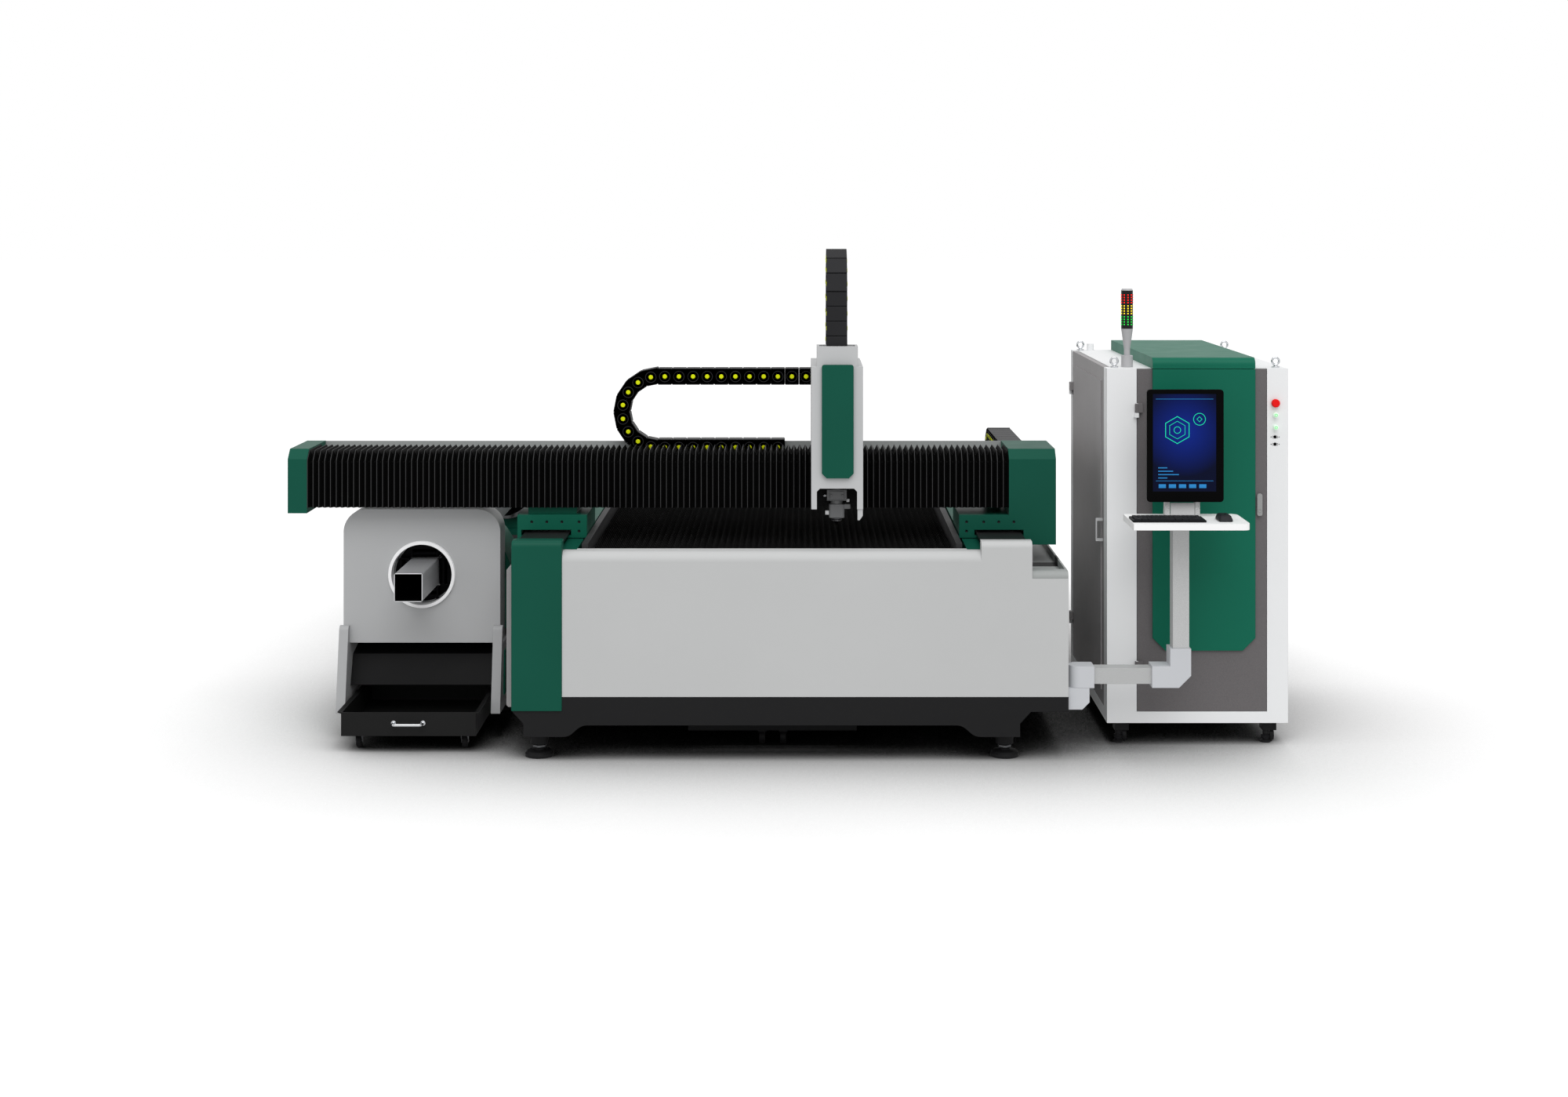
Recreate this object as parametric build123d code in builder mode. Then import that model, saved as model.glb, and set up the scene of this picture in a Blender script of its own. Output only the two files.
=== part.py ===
"""Fiber laser cutting machine for plate and tube: bed, gantry, head, tube unit, cabinet and panel.

Millimetres, +Z up, +Y away from the operator. Places are given in the bed's own frame, with X from
the bed's centre line, Y from its front plane and Z from the floor. BED_X and BED_Y carry them into
the part's frame, whose origin is the middle of the whole machine on the floor.
"""

import os
from math import cos, pi, radians, sin, tan

from build123d import *

os.makedirs("parts", exist_ok=True)

# Clearances
FIT = 0.3  # beside a piece that only seats
RUN = 3.0  # between pieces that pass each other
SHEET = 3.0  # folded sheet metal

# Bed
BED_LENGTH = 3900
BEAM_OUT = 1075  # outer face of the side beams
BEAM_IN = 815  # inner face of the side beams
BAND_LOW = 205
BAND_TOP = 267
BED_TOP = 868  # top of the side beams and the front rim
FOOT_TOP = 101  # under the cross beams
LEG_OUT = BEAM_OUT - 45
ARCH_TOP = 149
POST_IN = BEAM_IN + 55  # inner edge of the two corner posts
POST_DEEP = 65
POST_TOP = 910
RAIL_X = BEAM_OUT - 100  # gauge of the guide rails
CHANNEL_HALF = 90
CHANNEL_FLOOR = 800
RAIL_HIGH = 26
RAIL_WIDE = 30
COVER_TOP = 893
COVER_HALF = 100
SIDE_OUT = BEAM_OUT + 34
TROUGH_IN = BEAM_OUT + 6
TROUGH_OUT = TROUGH_IN + 150
TROUGH_TOP = 787
FRAME_OUT = BEAM_IN - 17  # grey strips that carry the slats
FRAME_IN = FRAME_OUT - 26
FRAME_TOP = 887
WORK_FRONT = 100
WORK_REAR = BED_LENGTH - 400
SLAT_TOP = 850
SLAT_HIGH = 100
SLAT_THICK = 3
SLAT_PITCH = 130
TOOTH_PITCH = 110
TOOTH_HIGH = 22

# Gantry
GANTRY_FRONT = 345
BEAM_REAR = 600
BEAM_FRONT = 385
BEAM_LOW = 1005
BEAM_HIGH = 1215
BEAM_LEFT = SIDE_OUT + 984
CAP_THICK = 83
BELLOWS_LOW = 1001
BELLOWS_TOP = 1245
BELLOWS_CHAMFER = 40
PLEAT = 25
PLEAT_DEEP = 12
BELLOWS_WALL = 16
COLUMN_IN = BEAM_OUT - 56
COLUMN_OUT = TROUGH_OUT - 9
CARRIAGE_LEFT = BEAM_OUT + 27
CARRIAGE_IN = BEAM_IN - 13
CARRIAGE_TOP = 970
CARRIAGE_REAR = 700
FOOT_PLATE = (871, 881)
NOTCH_TOP = 906
TRAY_REAR = 700
TRAY_LOW = 1190

# Head
HEAD_LEFT = 165
HEAD_RIGHT = 382
HEAD_FRONT = 100
HEAD_BACK = 606
HEAD_LOW = 1030
HEAD_TOP = 1628
HEAD_SHEET = 12
BOX_TOP = 1712
NOZZLE_Y = 235
NOZZLE_TIP = 948

# Drag chains
LINK_PITCH = 62.8
LINK_HIGH = 73
BEND_RADIUS = 157.6  # middle of the links

# Tube unit
TUBE_X = -SIDE_OUT - 424
TUBE_Z = 695
TUBE_SIDE = 120
TUBE_WALL = 4
TUBE_FRONT = 137
HOOD_FRONT = 450
HOOD_HALF = 342
HOOD_LOW = 397
HOOD_TOP = 980
HOOD_CORNER = 100
HOUSING_FRONT = 592
HOUSING_REAR = 1000
HOUSING_RADIUS = 378
CHEEK_OUT = 355
CHEEK_THICK = 40
CHEEK_LOW = 111
CHEEK_FRONT = 352
CHEEK_TOP = 474
TUBE_BED_TOP = 430

# Cabinet
CABINET_LEFT = TROUGH_OUT + 198
CABINET_WIDTH = 774
CABINET_FRONT = 260
CABINET_DEEP = 1163
CABINET_LOW = 94
CABINET_TOP = 1608
BAND_HIGH = 47
POST_LEFT = 127
POST_RIGHT = 90
SILL = 50

# Control panel on its arm
ARM_Y = 60
ARM_X = TROUGH_OUT + 49
ARM_TUBE = 66
TRAY_FRONT = -170

# The part's frame
BED_X = (BEAM_LEFT - CABINET_LEFT - CABINET_WIDTH) / 2
BED_Y = -(TRAY_FRONT + BED_LENGTH) / 2


def at(x, y, z):
    """A place of the bed's frame in the part's frame."""
    return (x + BED_X, y + BED_Y, z)


def block(x, y, z, mode=Mode.ADD):
    """A block between two places on each axis."""
    with Locations(at((x[0] + x[1]) / 2, (y[0] + y[1]) / 2, (z[0] + z[1]) / 2)):
        Box(abs(x[1] - x[0]), abs(y[1] - y[0]), abs(z[1] - z[0]), mode=mode)


def outline(plane, points, rounds=None):
    """A closed outline on a plane; rounds maps a point's number to its radius."""
    with BuildSketch(plane) as drawn:
        with BuildLine():
            Polyline(*points, close=True)
        make_face()
        for number, radius in (rounds or {}).items():
            corner = drawn.vertices().sort_by_distance((*points[number], 0))[0]
            fillet(corner, radius)
    return drawn.sketch


def across(points, x, mode=Mode.ADD, rounds=None):
    """An outline of (y, z) points, carried along X."""
    plane = Plane(origin=at(x[0], 0, 0), x_dir=(0, 1, 0), z_dir=(1, 0, 0))
    extrude(outline(plane, points, rounds), amount=x[1] - x[0], mode=mode)


def along(points, y, mode=Mode.ADD, rounds=None):
    """An outline of (x, z) points, carried along Y."""
    plane = Plane(origin=at(0, y[1], 0), x_dir=(1, 0, 0), z_dir=(0, -1, 0))
    extrude(outline(plane, points, rounds), amount=y[1] - y[0], mode=mode)


def upward(points, z, mode=Mode.ADD, rounds=None):
    """An outline of (x, y) points, carried along Z."""
    plane = Plane(origin=at(0, 0, z[0]), x_dir=(1, 0, 0), z_dir=(0, 0, 1))
    extrude(outline(plane, points, rounds), amount=z[1] - z[0], mode=mode)


def rod(axis, place, radius, length, mode=Mode.ADD, bore=0):
    """A round rod or ring from a place, along +X, +Y or +Z."""
    plane = Plane(origin=at(*place), z_dir=axis)
    with BuildSketch(plane) as drawn:
        Circle(radius)
        if bore:
            Circle(bore, mode=Mode.SUBTRACT)
    extrude(drawn.sketch, amount=length, mode=mode)


def turned(axis, place, profile, mode=Mode.ADD):
    """A turned piece: (radius, height) points about an axis through a place."""
    side = (1, 0, 0) if axis != (1, 0, 0) else (0, 1, 0)
    spin = Vector(*axis)
    plane = Plane(origin=at(*place), x_dir=side, z_dir=Vector(*side).cross(spin))
    with BuildSketch(plane) as drawn:
        with BuildLine():
            Polyline(*profile, close=True)
        make_face()
    revolve(drawn.sketch, axis=Axis(at(*place), axis), mode=mode)


X, Y, Z = (1, 0, 0), (0, 1, 0), (0, 0, 1)


def both(places):
    """The same span on the left and the right of the bed's centre."""
    return ((-places[1], -places[0]), places)


def finish(made, name):
    """Names a piece and writes it."""
    made.part.label = name
    export_step(made.part, f"parts/{name}.step")


# Bed: two closed side beams with an open rail channel on top, on arched cross beams
BEAM_FRONT_Y = POST_DEEP + FIT
BEAM_REAR_Y = BED_LENGTH - POST_DEEP
BEAM_WALL = 12
CROSS_DEEP = 120
MIDDLE_BEAMS = (BED_LENGTH / 3, BED_LENGTH * 2 / 3)
BAND_WIDE = 160
FOOT_IN = LEG_OUT - 163  # inner end of the level stretch over a foot
ARCH_IN = FOOT_IN - 102
LEG_CORNER = 156
SKIRT_LOW = 130
MIDDLE_HALF = 60
with BuildPart() as bed_base:
    for x in both((BEAM_IN, BEAM_OUT)):
        block(x, (BEAM_FRONT_Y, BEAM_REAR_Y), (BAND_TOP, BED_TOP))
        inside = (x[0] + BEAM_WALL, x[1] - BEAM_WALL)
        block(inside, (BEAM_FRONT_Y + BEAM_WALL, BEAM_REAR_Y - BEAM_WALL),
              (BAND_TOP + BEAM_WALL, CHANNEL_FLOOR - BEAM_WALL), Mode.SUBTRACT)
    for side in (-1, 1):
        block((side * RAIL_X - CHANNEL_HALF, side * RAIL_X + CHANNEL_HALF),
              (BEAM_FRONT_Y + BEAM_WALL, BEAM_REAR_Y - BEAM_WALL),
              (CHANNEL_FLOOR, BED_TOP), Mode.SUBTRACT)
    block((-BEAM_OUT, TROUGH_OUT), (0, BED_LENGTH), (BAND_LOW, BAND_TOP))
    block((-BEAM_IN, BEAM_IN), (BAND_WIDE, BED_LENGTH - BAND_WIDE), (BAND_LOW, BAND_TOP),
          Mode.SUBTRACT)
    for y in ((BEAM_FRONT_Y, BEAM_FRONT_Y + 30), (BEAM_REAR_Y - 30, BEAM_REAR_Y)):
        block((-BEAM_IN, BEAM_IN), y, (BAND_TOP, BED_TOP - 10))
    for y in (0, BED_LENGTH - CROSS_DEEP):
        plane = Plane(origin=at(0, y + CROSS_DEEP, 0), x_dir=X, z_dir=(0, -1, 0))
        with BuildSketch(plane) as arch:
            with BuildLine():
                Polyline((-FOOT_IN, FOOT_TOP), (-LEG_OUT, FOOT_TOP), (-LEG_OUT, LEG_CORNER),
                         (-BEAM_OUT, BAND_LOW), (BEAM_OUT, BAND_LOW), (LEG_OUT, LEG_CORNER),
                         (LEG_OUT, FOOT_TOP), (FOOT_IN, FOOT_TOP))
                Spline((FOOT_IN, FOOT_TOP), (ARCH_IN, ARCH_TOP), tangents=((-1, 0), (-1, 0)))
                Line((ARCH_IN, ARCH_TOP), (-ARCH_IN, ARCH_TOP))
                Spline((-ARCH_IN, ARCH_TOP), (-FOOT_IN, FOOT_TOP), tangents=((-1, 0), (-1, 0)))
            make_face()
        extrude(arch.sketch, amount=CROSS_DEEP)
    for y in MIDDLE_BEAMS:
        deep = (y - MIDDLE_HALF, y + MIDDLE_HALF)
        block((-LEG_OUT, LEG_OUT), deep, (ARCH_TOP, BAND_LOW))
        for x in both((FOOT_IN, LEG_OUT)):
            block(x, deep, (FOOT_TOP, ARCH_TOP))
    for x in both((LEG_OUT - 130, LEG_OUT)):
        block(x, (CROSS_DEEP, BED_LENGTH - CROSS_DEEP), (SKIRT_LOW, BAND_LOW))
finish(bed_base, "bed_base")

# Round pads on screws, with a sleeve under the beams: four pairs for the bed, three for the tube bed
FOOT_PLACES = [(side * RAIL_X, y) for y in (100, *MIDDLE_BEAMS, BED_LENGTH - 100)
               for side in (-1, 1)]
TUBE_BED_FRONT = 800
TUBE_BEAM_X = 250
TUBE_BEAM_HALF = 50
FOOT_PLACES += [(TUBE_X + side * (TUBE_BEAM_X + 20), y) for side in (-1, 1)
                for y in (TUBE_BED_FRONT + 100, BED_LENGTH / 2 + 250, BED_LENGTH - 200)]
with BuildPart() as levelling_feet:
    for x, y in FOOT_PLACES:
        turned(Z, (x, y, 0), [(0, 0), (60, 0), (60, 12), (50, 22), (20, 26), (20, 52), (37, 52),
                              (37, FOOT_TOP), (0, FOOT_TOP)])
finish(levelling_feet, "levelling_feet")

# White front sheet: folded round rim, flat strip behind it, and the taller right post cover
RIM = 40
with BuildPart() as front_panel:
    across([(0, BAND_TOP), (0, BED_TOP), (90, BED_TOP), (90, BED_TOP - SHEET),
            (SHEET, BED_TOP - SHEET), (SHEET, BAND_TOP)], (-BEAM_IN, BEAM_IN),
           rounds={1: RIM, 4: RIM - SHEET})
    for x in ((-POST_IN + FIT, -BEAM_IN), (BEAM_IN, POST_IN)):
        across([(0, BAND_TOP), (0, BED_TOP), (POST_DEEP, BED_TOP), (POST_DEEP, BAND_TOP)], x,
               rounds={1: RIM})
    block((POST_IN, TROUGH_IN), (0, POST_DEEP), (BAND_TOP, POST_TOP))
    fillet(front_panel.edges().filter_by(Axis.X).sort_by_distance(
        at((POST_IN + TROUGH_IN) / 2, 0, POST_TOP))[0], 25)
    block((TROUGH_IN, TROUGH_OUT), (0, SHEET), (BAND_TOP, TROUGH_TOP - 30))
finish(front_panel, "front_panel")

# Green corner cover on the left: a folded cap with a rounded top
COVER_LOW = 210
with BuildPart() as corner_cover:
    block((-BEAM_OUT - 5, -POST_IN), (-6, POST_DEEP), (COVER_LOW, POST_TOP + 4))
    fillet(corner_cover.edges().filter_by(Axis.X).sort_by_distance(
        at(-RAIL_X, -6, POST_TOP + 4))[0], 25)
    fillet(corner_cover.edges().filter_by(Axis.Z).group_by(Axis.Y)[0], 6)
    block((-BEAM_OUT - 5 + SHEET, -POST_IN - SHEET), (0, POST_DEEP),
          (COVER_LOW, POST_TOP - 20), Mode.SUBTRACT)
    block((-BEAM_OUT - 5 + SHEET, -POST_IN), (0, POST_DEEP), (COVER_LOW, BAND_TOP + FIT),
          Mode.SUBTRACT)
finish(corner_cover, "corner_cover")

# Grey left side: long folded trays with doors between
with BuildPart() as side_panel:
    block((-SIDE_OUT, -BEAM_OUT - FIT), (POST_DEEP + FIT, BED_LENGTH - 10), (COVER_LOW, 790))
    chamfer(side_panel.edges().filter_by(Axis.Y).group_by(Axis.X)[0], 8)
    pitch = (BED_LENGTH - 140) / 4
    for number in range(4):
        y = 120 + number * pitch
        block((-SIDE_OUT, -SIDE_OUT + 4), (y, y + pitch - 100), (300, 700), Mode.SUBTRACT)
finish(side_panel, "side_panel")

# Trough of the Y chain along the right side
TROUGH_FLOOR = 756
with BuildPart() as chain_trough:
    across([(SHEET + FIT, BAND_TOP), (SHEET + FIT, TROUGH_TOP), (BED_LENGTH, TROUGH_TOP),
            (BED_LENGTH, BAND_TOP)], (TROUGH_IN, TROUGH_OUT), rounds={1: 25})
    block((TROUGH_IN + 8, TROUGH_OUT - 8), (60, BED_LENGTH), (TROUGH_FLOOR, TROUGH_TOP),
          Mode.SUBTRACT)
    block((TROUGH_IN + 8, TROUGH_OUT - 8), (60, BED_LENGTH - 60),
          (BAND_TOP + 8, TROUGH_FLOOR - 8), Mode.SUBTRACT)
finish(chain_trough, "chain_trough")

# Plain rear sheet with two access covers
with BuildPart() as rear_panel:
    across([(BED_LENGTH, BAND_TOP), (BED_LENGTH, BED_TOP), (BED_LENGTH - 60, BED_TOP),
            (BED_LENGTH - 60, BED_TOP - SHEET), (BED_LENGTH - SHEET, BED_TOP - SHEET),
            (BED_LENGTH - SHEET, BAND_TOP)], (-BEAM_OUT, BEAM_OUT))
    across([(BED_LENGTH - 60, BED_TOP), (WORK_REAR + RUN, BED_TOP),
            (WORK_REAR + RUN, BED_TOP - 80), (WORK_REAR + RUN + SHEET, BED_TOP - 80),
            (WORK_REAR + RUN + SHEET, BED_TOP - SHEET), (BED_LENGTH - 60, BED_TOP - SHEET)],
           (-BEAM_IN + FIT, BEAM_IN - FIT))
    for x in both((150, 700)):
        block(x, (BED_LENGTH - SHEET, BED_LENGTH), (340, 780))
    for x in both((POST_IN, BEAM_OUT)):
        block(x, (BEAM_REAR_Y + FIT, BED_LENGTH - SHEET), (BAND_TOP, BED_TOP - SHEET))
finish(rear_panel, "rear_panel")

# Frame of the slats: two strips with a ledge, tied by end bars and brackets
LEDGE = 12
with BuildPart() as slat_frame:
    for side in (-1, 1):
        low, high = sorted((side * FRAME_IN, side * FRAME_OUT))
        block((low, high), (WORK_FRONT, WORK_REAR), (700, FRAME_TOP))
        ledge = sorted((side * (FRAME_IN - LEDGE), side * FRAME_IN))
        block(ledge, (WORK_FRONT, WORK_REAR), (SLAT_TOP - SLAT_HIGH - LEDGE,
                                               SLAT_TOP - SLAT_HIGH))
        for number in range(4):
            y = WORK_FRONT + 200 + number * (WORK_REAR - WORK_FRONT - 400) / 3
            bracket = sorted((side * FRAME_OUT, side * BEAM_IN))
            block(bracket, (y - 60, y + 60), (700, 760))
    for y in (WORK_FRONT + 26, WORK_REAR):
        block((-FRAME_IN, FRAME_IN), (y - 26, y), (640, 735))
        for x in both((FRAME_IN - LEDGE, FRAME_OUT)):
            block(x, (y - 26, y), (640, 740))
finish(slat_frame, "slat_frame")

# Toothed slats that carry the sheet
SLAT_COUNT = int((WORK_REAR - WORK_FRONT - 150) // SLAT_PITCH) + 1
SLAT_HALF = FRAME_IN - 2
with BuildPart() as cutting_slats:
    teeth = int(2 * SLAT_HALF // TOOTH_PITCH)
    step = 2 * SLAT_HALF / teeth
    top = [(SLAT_HALF, SLAT_TOP - TOOTH_HIGH)]
    for number in range(teeth):
        peak = SLAT_HALF - (number + 0.5) * step
        top += [(peak, SLAT_TOP), (peak - step / 2, SLAT_TOP - TOOTH_HIGH)]
    low = SLAT_TOP - SLAT_HIGH
    for number in range(SLAT_COUNT):
        y = WORK_FRONT + 70 + number * SLAT_PITCH
        along([(-SLAT_HALF, low), (SLAT_HALF, low)] + top, (y, y + SLAT_THICK))
finish(cutting_slats, "cutting_slats")

# Scrap hopper: two sloping sheets and two ends, open above and below
HOPPER_TOP = 735
HOPPER_LOW = 240
HOPPER_MOUTH = 330
with BuildPart() as scrap_hopper:
    for side in (-1, 1):
        wide, narrow = side * (BEAM_IN - FIT), side * HOPPER_MOUTH
        along([(wide, HOPPER_TOP - 80), (narrow, HOPPER_LOW), (narrow, HOPPER_LOW - 5),
               (wide, HOPPER_TOP - 90)], (WORK_FRONT + 90, WORK_REAR - 30))
    for y in (WORK_FRONT + 90, WORK_REAR - 34):
        along([(-BEAM_IN + 70, HOPPER_TOP - 110), (BEAM_IN - 70, HOPPER_TOP - 110),
               (HOPPER_MOUTH, HOPPER_LOW), (-HOPPER_MOUTH, HOPPER_LOW)], (y, y + 4))
finish(scrap_hopper, "scrap_hopper")


def rail_section(x, low, half, high):
    """The waisted section of a guide rail as (x, z) points."""
    return [(x - half, low), (x + half, low), (x + half, low + 10), (x + half - 4, low + 13),
            (x + half, low + 17), (x + half, low + high), (x - half, low + high),
            (x - half, low + 17), (x - half + 4, low + 13), (x - half, low + 10)]


# Guide rails with a waist and the toothed racks beside them, for the gantry and the feed carriage
FEED_RAIL = 220
with BuildPart() as guide_rails:
    span = (BEAM_FRONT_Y + 25, BEAM_REAR_Y - 25)
    for side in (-1, 1):
        along(rail_section(side * RAIL_X, CHANNEL_FLOOR, RAIL_WIDE / 2, RAIL_HIGH), span)
        rack = sorted((side * (RAIL_X + 62), side * (RAIL_X + 84)))
        block(rack, span, (CHANNEL_FLOOR, CHANNEL_FLOOR + 24))
    span = (HOUSING_REAR + 60, BED_LENGTH - 20)
    for side in (-1, 1):
        along(rail_section(TUBE_X + side * FEED_RAIL, TUBE_BED_TOP, 14, 24), span)
    block((TUBE_X + FEED_RAIL + 30, TUBE_X + FEED_RAIL + 50), span,
          (TUBE_BED_TOP, TUBE_BED_TOP + 20))
finish(guide_rails, "guide_rails")

# Flat strips over the rails, bent down at both ends
with BuildPart() as rail_covers:
    for side in (-1, 1):
        across([(68, BED_TOP), (68, COVER_TOP), (BED_LENGTH - 68, COVER_TOP),
                (BED_LENGTH - 68, BED_TOP), (BED_LENGTH - 76, BED_TOP),
                (BED_LENGTH - 76, COVER_TOP - 8), (76, COVER_TOP - 8), (76, BED_TOP)],
               (side * RAIL_X - COVER_HALF + 3, side * RAIL_X + COVER_HALF - 3), rounds={1: 10})
finish(rail_covers, "rail_covers")

# Tube bed: two long box beams on cross plates
TUBE_BEAM_WALL = 8
TUBE_BED_HALF = TUBE_BEAM_X + TUBE_BEAM_HALF
CROSS_PLATE = 60
with BuildPart() as tube_frame:
    for side in (-1, 1):
        x = TUBE_X + side * TUBE_BEAM_X
        block((x - TUBE_BEAM_HALF, x + TUBE_BEAM_HALF), (TUBE_BED_FRONT, BED_LENGTH),
              (FOOT_TOP, TUBE_BED_TOP))
        hollow = TUBE_BEAM_HALF - TUBE_BEAM_WALL
        block((x - hollow, x + hollow),
              (TUBE_BED_FRONT + TUBE_BEAM_WALL, BED_LENGTH - TUBE_BEAM_WALL),
              (FOOT_TOP + TUBE_BEAM_WALL, TUBE_BED_TOP - TUBE_BEAM_WALL), Mode.SUBTRACT)
    block((TUBE_X - CHEEK_OUT, TUBE_X + CHEEK_OUT), (TUBE_BED_FRONT, TUBE_BED_FRONT + CROSS_PLATE),
          (180, HOOD_LOW - FIT))
    for y in MIDDLE_BEAMS:
        block((TUBE_X + TUBE_BED_HALF, -LEG_OUT), (y - 40, y + 40), (ARCH_TOP + 6, BAND_LOW - 5))
    inner = TUBE_BEAM_X - TUBE_BEAM_HALF
    for y in (TUBE_BED_FRONT + 1000, TUBE_BED_FRONT + 2000, BED_LENGTH - CROSS_PLATE):
        block((TUBE_X - inner, TUBE_X + inner), (y, y + CROSS_PLATE), (180, TUBE_BED_TOP - 20))
    block((TUBE_X - TUBE_BED_HALF, TUBE_X + TUBE_BED_HALF), (TUBE_BED_FRONT, HOUSING_REAR + 40),
          (TUBE_BED_TOP - 12, TUBE_BED_TOP))
finish(tube_frame, "tube_frame")

# Silver hood in front of the chuck housing, with a bright sleeve round the hole
SLEEVE_OUT = 145
SLEEVE_IN = 131.5
HOOD_SHEET = 8
with BuildPart() as tube_hood:
    left, right = TUBE_X - HOOD_HALF, TUBE_X + HOOD_HALF
    along([(left, HOOD_LOW), (right, HOOD_LOW), (right, HOOD_TOP), (left, HOOD_TOP)],
          (HOOD_FRONT, HOUSING_FRONT), rounds={2: HOOD_CORNER, 3: HOOD_CORNER})
    along([(left + HOOD_SHEET, HOOD_LOW + HOOD_SHEET), (right - HOOD_SHEET, HOOD_LOW + HOOD_SHEET),
           (right - HOOD_SHEET, HOOD_TOP - HOOD_SHEET), (left + HOOD_SHEET, HOOD_TOP - HOOD_SHEET)],
          (HOOD_FRONT + HOOD_SHEET, HOUSING_FRONT), Mode.SUBTRACT,
          {2: HOOD_CORNER - HOOD_SHEET, 3: HOOD_CORNER - HOOD_SHEET})
    rod(Y, (TUBE_X, HOOD_FRONT - 12, TUBE_Z), SLEEVE_OUT, 60)
    rod(Y, (TUBE_X, HOOD_FRONT - 12, TUBE_Z), SLEEVE_IN, 60, Mode.SUBTRACT)
finish(tube_hood, "tube_hood")

# White cheeks either side of the trolley, leaning forward to the floor, with a cover plate on each
with BuildPart() as tube_cheeks:
    for side in (-1, 1):
        x = sorted((TUBE_X + side * (CHEEK_OUT - CHEEK_THICK), TUBE_X + side * CHEEK_OUT))
        across([(CHEEK_FRONT, CHEEK_LOW), (CHEEK_FRONT + 72, CHEEK_TOP), (HOOD_FRONT, CHEEK_TOP),
                (HOOD_FRONT, HOOD_LOW - FIT), (TUBE_BED_FRONT, HOOD_LOW - FIT),
                (TUBE_BED_FRONT, CHEEK_LOW)], x, rounds={1: 22})
        face = TUBE_X + side * CHEEK_OUT
        plate = sorted((face, face + side * 5))
        across([(450, 170), (470, 360), (740, 360), (740, 170)], plate)
finish(tube_cheeks, "tube_cheeks")

# Folded chute that drops the cut pieces into the trolley
with BuildPart() as outfeed_chute:
    inner = CHEEK_OUT - CHEEK_THICK - FIT
    across([(470, 210), (520, 330), (780, 388), (780, 394), (514, 336), (462, 210)],
           (TUBE_X - inner, TUBE_X + inner))
    for side in (-1, 1):
        x = sorted((TUBE_X + side * (inner - 4), TUBE_X + side * inner))
        across([(470, 210), (520, 330), (780, 388), (780, 300), (560, 210)], x)
finish(outfeed_chute, "outfeed_chute")

# Housing of the front chuck: arch on the tube bed, with a raised band at its front
CHUCK_BORE = 150
with BuildPart() as chuck_housing:
    centre = HOOD_TOP - HOUSING_RADIUS
    for radius, y in ((HOUSING_RADIUS - 28, (HOUSING_FRONT, HOUSING_FRONT + 20)),
                      (HOUSING_RADIUS, (HOUSING_FRONT + 20, HOUSING_FRONT + 130)),
                      (HOUSING_RADIUS - 16, (HOUSING_FRONT + 130, HOUSING_REAR))):
        low = TUBE_BED_TOP + FIT
        plane = Plane(origin=at(TUBE_X, y[1], 0), x_dir=X, z_dir=(0, -1, 0))
        with BuildSketch(plane) as arch:
            with BuildLine():
                Polyline((radius, centre), (radius, low), (-radius, low), (-radius, centre))
                RadiusArc((-radius, centre), (radius, centre), radius)
            make_face()
        extrude(arch.sketch, amount=y[1] - y[0])
    rod(Y, (TUBE_X, HOUSING_FRONT - 5, TUBE_Z), CHUCK_BORE, HOUSING_REAR + 10 - HOUSING_FRONT,
        Mode.SUBTRACT)
finish(chuck_housing, "chuck_housing")


def chuck_ring(face, length):
    """The turning ring of a chuck, from its face along Y."""
    rod(Y, (TUBE_X, face, TUBE_Z), CHUCK_BORE - FIT, length, bore=RING_BORE)


def about_the_tube(face, turn):
    """A plane on a chuck's face, looking at the operator, with its X axis out to one of the jaws."""
    return Plane(origin=at(TUBE_X, face, TUBE_Z), x_dir=(cos(turn * pi / 2), 0,
                 sin(turn * pi / 2)), z_dir=(0, -1, 0))


RING_BORE = 92
JAW_DEEP = 38
JAW_ROOT = CHUCK_BORE - 12
ROLLER = 17
ROLLER_HALF = 53
GRIP = TUBE_SIDE / 2 + 1.5
FRONT_CHUCK = HOUSING_FRONT - 40
with BuildPart() as front_chuck:
    chuck_ring(FRONT_CHUCK, 400)
    for turn in range(4):
        with BuildSketch(about_the_tube(FRONT_CHUCK, turn)) as yoke:
            with BuildLine():
                Polyline((JAW_ROOT, -35), (JAW_ROOT, 35), (GRIP + 46, ROLLER_HALF + 7),
                         (GRIP + 5, ROLLER_HALF + 7), (GRIP + 5, ROLLER_HALF),
                         (GRIP + 2 * ROLLER + 4, ROLLER_HALF),
                         (GRIP + 2 * ROLLER + 4, -ROLLER_HALF), (GRIP + 5, -ROLLER_HALF),
                         (GRIP + 5, -ROLLER_HALF - 7), (GRIP + 46, -ROLLER_HALF - 7), close=True)
            make_face()
        extrude(yoke.sketch, amount=JAW_DEEP)
        across_tube = (-sin(turn * pi / 2), 0, cos(turn * pi / 2))
        middle = (TUBE_X + (GRIP + ROLLER) * cos(turn * pi / 2), FRONT_CHUCK - JAW_DEEP / 2,
                  TUBE_Z + (GRIP + ROLLER) * sin(turn * pi / 2))
        start = tuple(m - d * (ROLLER_HALF + 1) for m, d in zip(middle, across_tube))
        rod(across_tube, start, ROLLER, 2 * ROLLER_HALF + 2)
finish(front_chuck, "front_chuck")

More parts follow.
